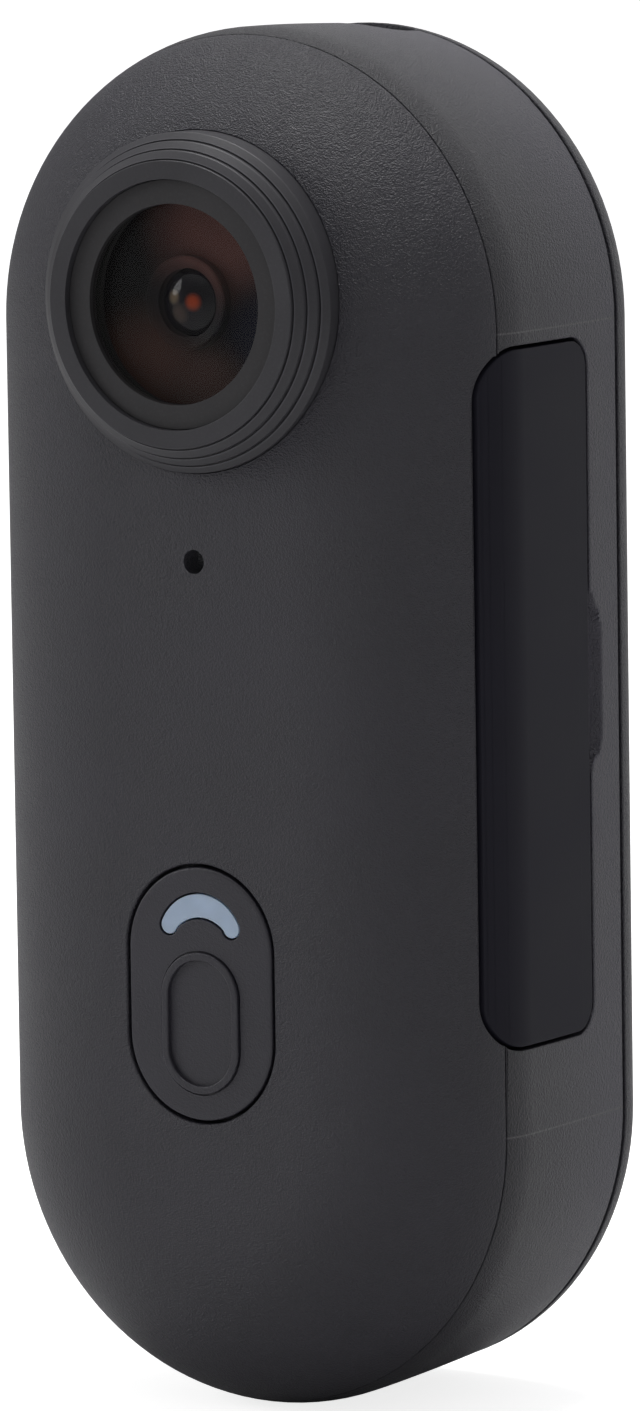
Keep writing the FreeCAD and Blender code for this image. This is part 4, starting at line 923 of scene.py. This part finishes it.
printed = {"pitch": 1.1, "spread": 0.35, "trackSpan": (0.4, 0.46), "padSpan": (0.1, 0.13),
           "tones": (1.0, 2.0), "padColour": (0.62, 0.45, 0.2), "rough": (0.35, 0.25), "bump": 0.3,
           "depth": 0.02}


def circuitBoard(name, colour):
    # solder mask with fine tracks under it and small plated pads
    finish, tree, shader = newFinish(name)
    apart = addNode(tree, "ShaderNodeTexVoronoi", {
        "Vector": objectPlace(tree), "Scale": 1 / (printed["pitch"] * mm),
        "Randomness": printed["spread"]}, distance="CHEBYCHEV", feature="F1").outputs["Distance"]
    track = ramp(tree, apart, *printed["trackSpan"], 0.0, 1.0)
    pad = ramp(tree, apart, *printed["padSpan"], 1.0, 0.0)
    base = twoTones(tree, track, colour, *printed["tones"])
    base = blendColours(tree, pad, base, rgb(printed["padColour"]))
    dress(tree, shader, base, ramp(tree, pad, 0.0, 1.0, *printed["rough"]), track, printed)
    tree.links.new(pad, shader.inputs["Metallic"])
    return finish


milky = {"cloud": 0.8, "grain": 0.1, "tones": (0.88, 1.1), "rough": (0.3, 0.42), "bump": 0.3,
         "depth": 0.004, "scatter": 0.4, "scatterRadius": (0.6, 0.8, 1.0), "scatterReach": 0.5}


def diffuser(name, colour):
    # milky plastic: light gets in and is scattered
    finish, tree, shader = newFinish(name)
    cloudy, fine = noise(tree, milky["cloud"], detail=3.0), noise(tree, milky["grain"])
    base = twoTones(tree, cloudy, colour, *milky["tones"])
    dress(tree, shader, base, spreadOut(tree, cloudy, *milky["rough"]), fine, milky)
    shader.inputs["Subsurface Weight"].default_value = milky["scatter"]
    shader.inputs["Subsurface Radius"].default_value = milky["scatterRadius"]
    shader.inputs["Subsurface Scale"].default_value = milky["scatterReach"] * mm
    return finish


caseGrey = (0.026, 0.0245, 0.0332)
# the wear setting paints lighter edges: wear and a painted edge highlight; the key's is stronger, a
# painted highlight on its rim
caseLook = {"depth": 0.08, "bump": 1.0, "rough": (0.35, 0.43), "wearAndGlint": 0.5, "specular": 0.5}
keyLook = dict(caseLook, depth=0.03, bump=0.8, wearAndGlint=0.8)
# painted reflections on the black plate: red brown above, brown below, violet at the right and in the
# middle
plateReflections = (((1.6, -17.3, 23.2), 4.9, (0.17, 0.072, 0.062)),
              ((-2.6, -17.3, 16.0), 4.2, (0.105, 0.045, 0.033)),
              ((3.8, -17.3, 18.2), 3.0, (0.009, 0.009, 0.024)),
              ((0.8, -17.3, 15.4), 3.2, (0.085, 0.042, 0.034)),
              ((0, -17.8, 19.6), 2.2, (0.008, 0.007, 0.016)))
# painted reflections on the front element: brown below, pale at the left and orange at the right
lensReflections = (((-0.35, -17.8, 19.1), 0.62, (0.07, 0.042, 0.03)),
             ((-0.62, -17.7, 19.85), 0.44, (0.26, 0.19, 0.12)),
             ((0.42, -17.8, 19.65), 0.5, (0.55, 0.075, 0.015)))
finishes = {
    "shell_grey": moulded("shellGrey", caseGrey, **caseLook),
    "band_grey": moulded("bandGrey", caseGrey, **caseLook, bandShaded=True),
    "key_grey": moulded("keyGrey", caseGrey, **keyLook),
    "door_grey": moulded("doorGrey", (0.0128, 0.0122, 0.0192), grain=0.1, depth=0.003,
                         rough=(0.5, 0.58), specular=0.13),
    "collar_grey": satinMetal("collarGrey", (0.041, 0.0398, 0.0455)),
    "bezel_black": satinMetal("bezelBlack", (0.038, 0.0365, 0.039), rough=(0.5, 0.56), wearAndGlint=0.25,
                              specular=0.25),
    "window_glass": glass("windowGlass", (0, 0, 0), clear=0.0, alpha=0.2, specular=0.4),
    "lens_glass": glass("lensGlass", (0.006, 0.004, 0.01), clear=0.0, paintedReflections=lensReflections, specular=0.35),
    "filter_glass": glass("filterGlass", (0.6, 0.85, 0.9)),
    "black_plastic": moulded("blackPlastic", (0.012, 0.012, 0.013), grain=0.1, depth=0.003),
    "optic_black": opticBlack("opticBlack", (0.006, 0.005, 0.006), plateReflections),
    "light_diffuser": diffuser("lightDiffuser", (0.41, 0.51, 0.66)),
    "black_rubber": rubber("blackRubber", (0.018, 0.018, 0.018)),
    "grey_rubber": rubber("greyRubber", (0.35, 0.36, 0.38)),
    "steel": sheetMetal("steel", (0.55, 0.56, 0.58)),
    "magnet_plating": sheetMetal("magnetPlating", (0.7, 0.7, 0.72), rough=(0.1, 0.2),
                                 stretch=(1, 1, 1)),
    "board_black": circuitBoard("boardBlack", (0.012, 0.03, 0.02)),
    "chip_black": moulded("chipBlack", (0.02, 0.02, 0.022), grain=0.07, depth=0.003),
    "sensor_face": moulded("sensorFace", (0.08, 0.07, 0.12), grain=0.05, depth=0.001,
                           rough=(0.1, 0.16)),
    "flex_amber": moulded("flexAmber", (0.42, 0.2, 0.05), grain=0.2, depth=0.002, rough=(0.3, 0.4)),
    "heat_spreader": sheetMetal("heatSpreader", (0.75, 0.76, 0.78)),
    "battery_foil": sheetMetal("batteryFoil", (0.62, 0.62, 0.64), rough=(0.3, 0.5), stretch=(3, 1, 1)),
    "tape_white": rubber("tapeWhite", (0.7, 0.7, 0.68)),
    "contact_copper": sheetMetal("contactCopper", (0.72, 0.45, 0.2)),
    "led_yellow": diffuser("ledYellow", (0.85, 0.78, 0.35)),
}
slotOf = {part["node"]: part["material_slot"] for part in frame["record"]["subparts"]}
for name, node in frame["nodes"].items():
    node.data.materials.clear()
    node.data.materials.append(finishes[slotOf[name]])
print("finishes made:", len(finishes))


def enlarge(piece, times):
    piece.scale = (times, times, times)
    bpy.ops.object.transform_apply(location=False, rotation=False, scale=True)


def hand(piece, bodyName, *nodes, look=None):
    # the finished piece takes its smooth shading, its finish and the body it rides on
    choose(piece)
    bpy.ops.object.shade_smooth_by_angle(angle=math.radians(smoothAngle))
    # faces of square millimetres are too small for the weighting, so it is done enlarged
    enlarge(piece, 1 / mm)
    bpy.ops.object.modifier_add(type="WEIGHTED_NORMAL")
    piece.modifiers[-1].keep_sharp = True
    bpy.ops.object.modifier_apply(modifier=piece.modifiers[-1].name)
    enlarge(piece, mm)
    slotName = slotOf[nodes[0]]
    piece.data.materials.clear()
    piece.data.materials.append(finishes[look or slotName])
    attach(piece, bodyName)
    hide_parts(*nodes)
    print("piece made:", piece.name, len(piece.data.polygons))


hand(makeFrontShell(), "body", "front_shell")
hand(makeMiddleFrame(), "body", "middle_frame", look="band_grey")
hand(makeRearCover(), "body", "rear_cover")
hand(makeSideDoor(), "door", "side_door")
hand(makeCollar(), "body", "lens_collar")
hand(makeBezel(), "body", "lens_bezel")
hand(makeWindow(), "body", "lens_window")
hand(makeBaffle(), "body", "lens_baffle", look="optic_black")
hand(makeFrontLens(), "body", "front_lens")
hand(makeKey(), "button", "shutter_button", look="key_grey")
hand(makeLightWindow(), "button", "light_window")
print("outer pieces made")


# Studio: pale floor and white surroundings behind the object, dim ones in front, soft lamps. Each
# lamp has its place, its size and its power.
studio = {"floor": -31.72, "floorSize": 6000, "floorColour": (0.8, 0.8, 0.8), "floorRough": 0.9,
          "glow": 0.8, "ambient": 0.33, "frontDim": 0.22, "backdrop": (0, 1, 0), "backFrom": 0.7,
          "topGlow": 1.0, "topFrom": 0.4, "topFull": 0.9, "aim": (0, -8, 0),
          "lamps": {"key": ((-780, -380, 320), 440, 2.0), "side": ((290, 480, 70), 260, 0.1),
                    "top": ((-60, 40, 480), 300, 1.55)}}


def surroundings(tree):
    # gloss sees the white backdrop behind the object, the ceiling, and little in front
    way = addNode(tree, "ShaderNodeTexCoord").outputs["Generated"]
    toBack = addNode(tree, "ShaderNodeVectorMath", {0: way, 1: studio["backdrop"]},
                     operation="DOT_PRODUCT").outputs["Value"]
    back = ramp(tree, toBack, studio["backFrom"], 1.0, studio["frontDim"], 1.0, "SMOOTHSTEP")
    height = addNode(tree, "ShaderNodeSeparateXYZ", {"Vector": way}).outputs["Z"]
    top = ramp(tree, height, studio["topFrom"], studio["topFull"], 0.0, studio["topGlow"], "SMOOTHSTEP")
    return maths(tree, "MAXIMUM", back, top)


def paintWorld():
    world = bpy.data.worlds.new("studioWorld")
    world.use_nodes = True
    bpy.context.scene.world = world
    tree = world.node_tree
    plain = tree.nodes["Background"]
    plain.inputs["Color"].default_value = white
    plain.inputs["Strength"].default_value = studio["ambient"]
    gloss = addNode(tree, "ShaderNodeBackground", {"Color": white, "Strength": surroundings(tree)})
    backdrop = addNode(tree, "ShaderNodeBackground", {"Color": white, "Strength": 1.0})
    rays = addNode(tree, "ShaderNodeLightPath").outputs
    shiny = maths(tree, "MAXIMUM", rays["Is Glossy Ray"], rays["Is Transmission Ray"])
    seen = addNode(tree, "ShaderNodeMixShader", {0: shiny, 1: plain.outputs[0], 2: gloss.outputs[0]})
    last = addNode(tree, "ShaderNodeMixShader", {0: rays["Is Camera Ray"], 1: seen.outputs[0],
                                                 2: backdrop.outputs[0]})
    tree.links.new(last.outputs[0], tree.nodes["World Output"].inputs["Surface"])


def paintFloor(floor):
    finish, tree, shader = newFinish("studioFloor")
    shader.inputs["Base Color"].default_value = rgb(studio["floorColour"])
    shader.inputs["Roughness"].default_value = studio["floorRough"]
    rays = addNode(tree, "ShaderNodeLightPath").outputs
    glow = maths(tree, "MULTIPLY", rays["Is Camera Ray"], studio["glow"])
    shader.inputs["Emission Color"].default_value = white
    tree.links.new(glow, shader.inputs["Emission Strength"])
    floor.data.materials.append(finish)


def setStudio():
    dropSelection()
    bpy.ops.mesh.primitive_plane_add(size=studio["floorSize"] * mm,
                                     location=(0, 0, studio["floor"] * mm))
    floor = nameIt("studioFloorPlane")
    settle()
    paintFloor(floor)
    for name, (spot, size, power) in studio["lamps"].items():
        place = Vector(spot) * mm
        aim = (Vector(studio["aim"]) * mm - place).to_track_quat("-Z", "Y").to_euler()
        bpy.ops.object.light_add(type="AREA", location=place, rotation=aim)
        lamp = bpy.context.object
        lamp.name = name + "Lamp"
        lamp.data.shape = "DISK"
        lamp.data.size = size * mm
        lamp.data.energy = power
    paintWorld()
    bpy.context.scene.view_settings.view_transform = "Standard"


setStudio()
print("studio set")
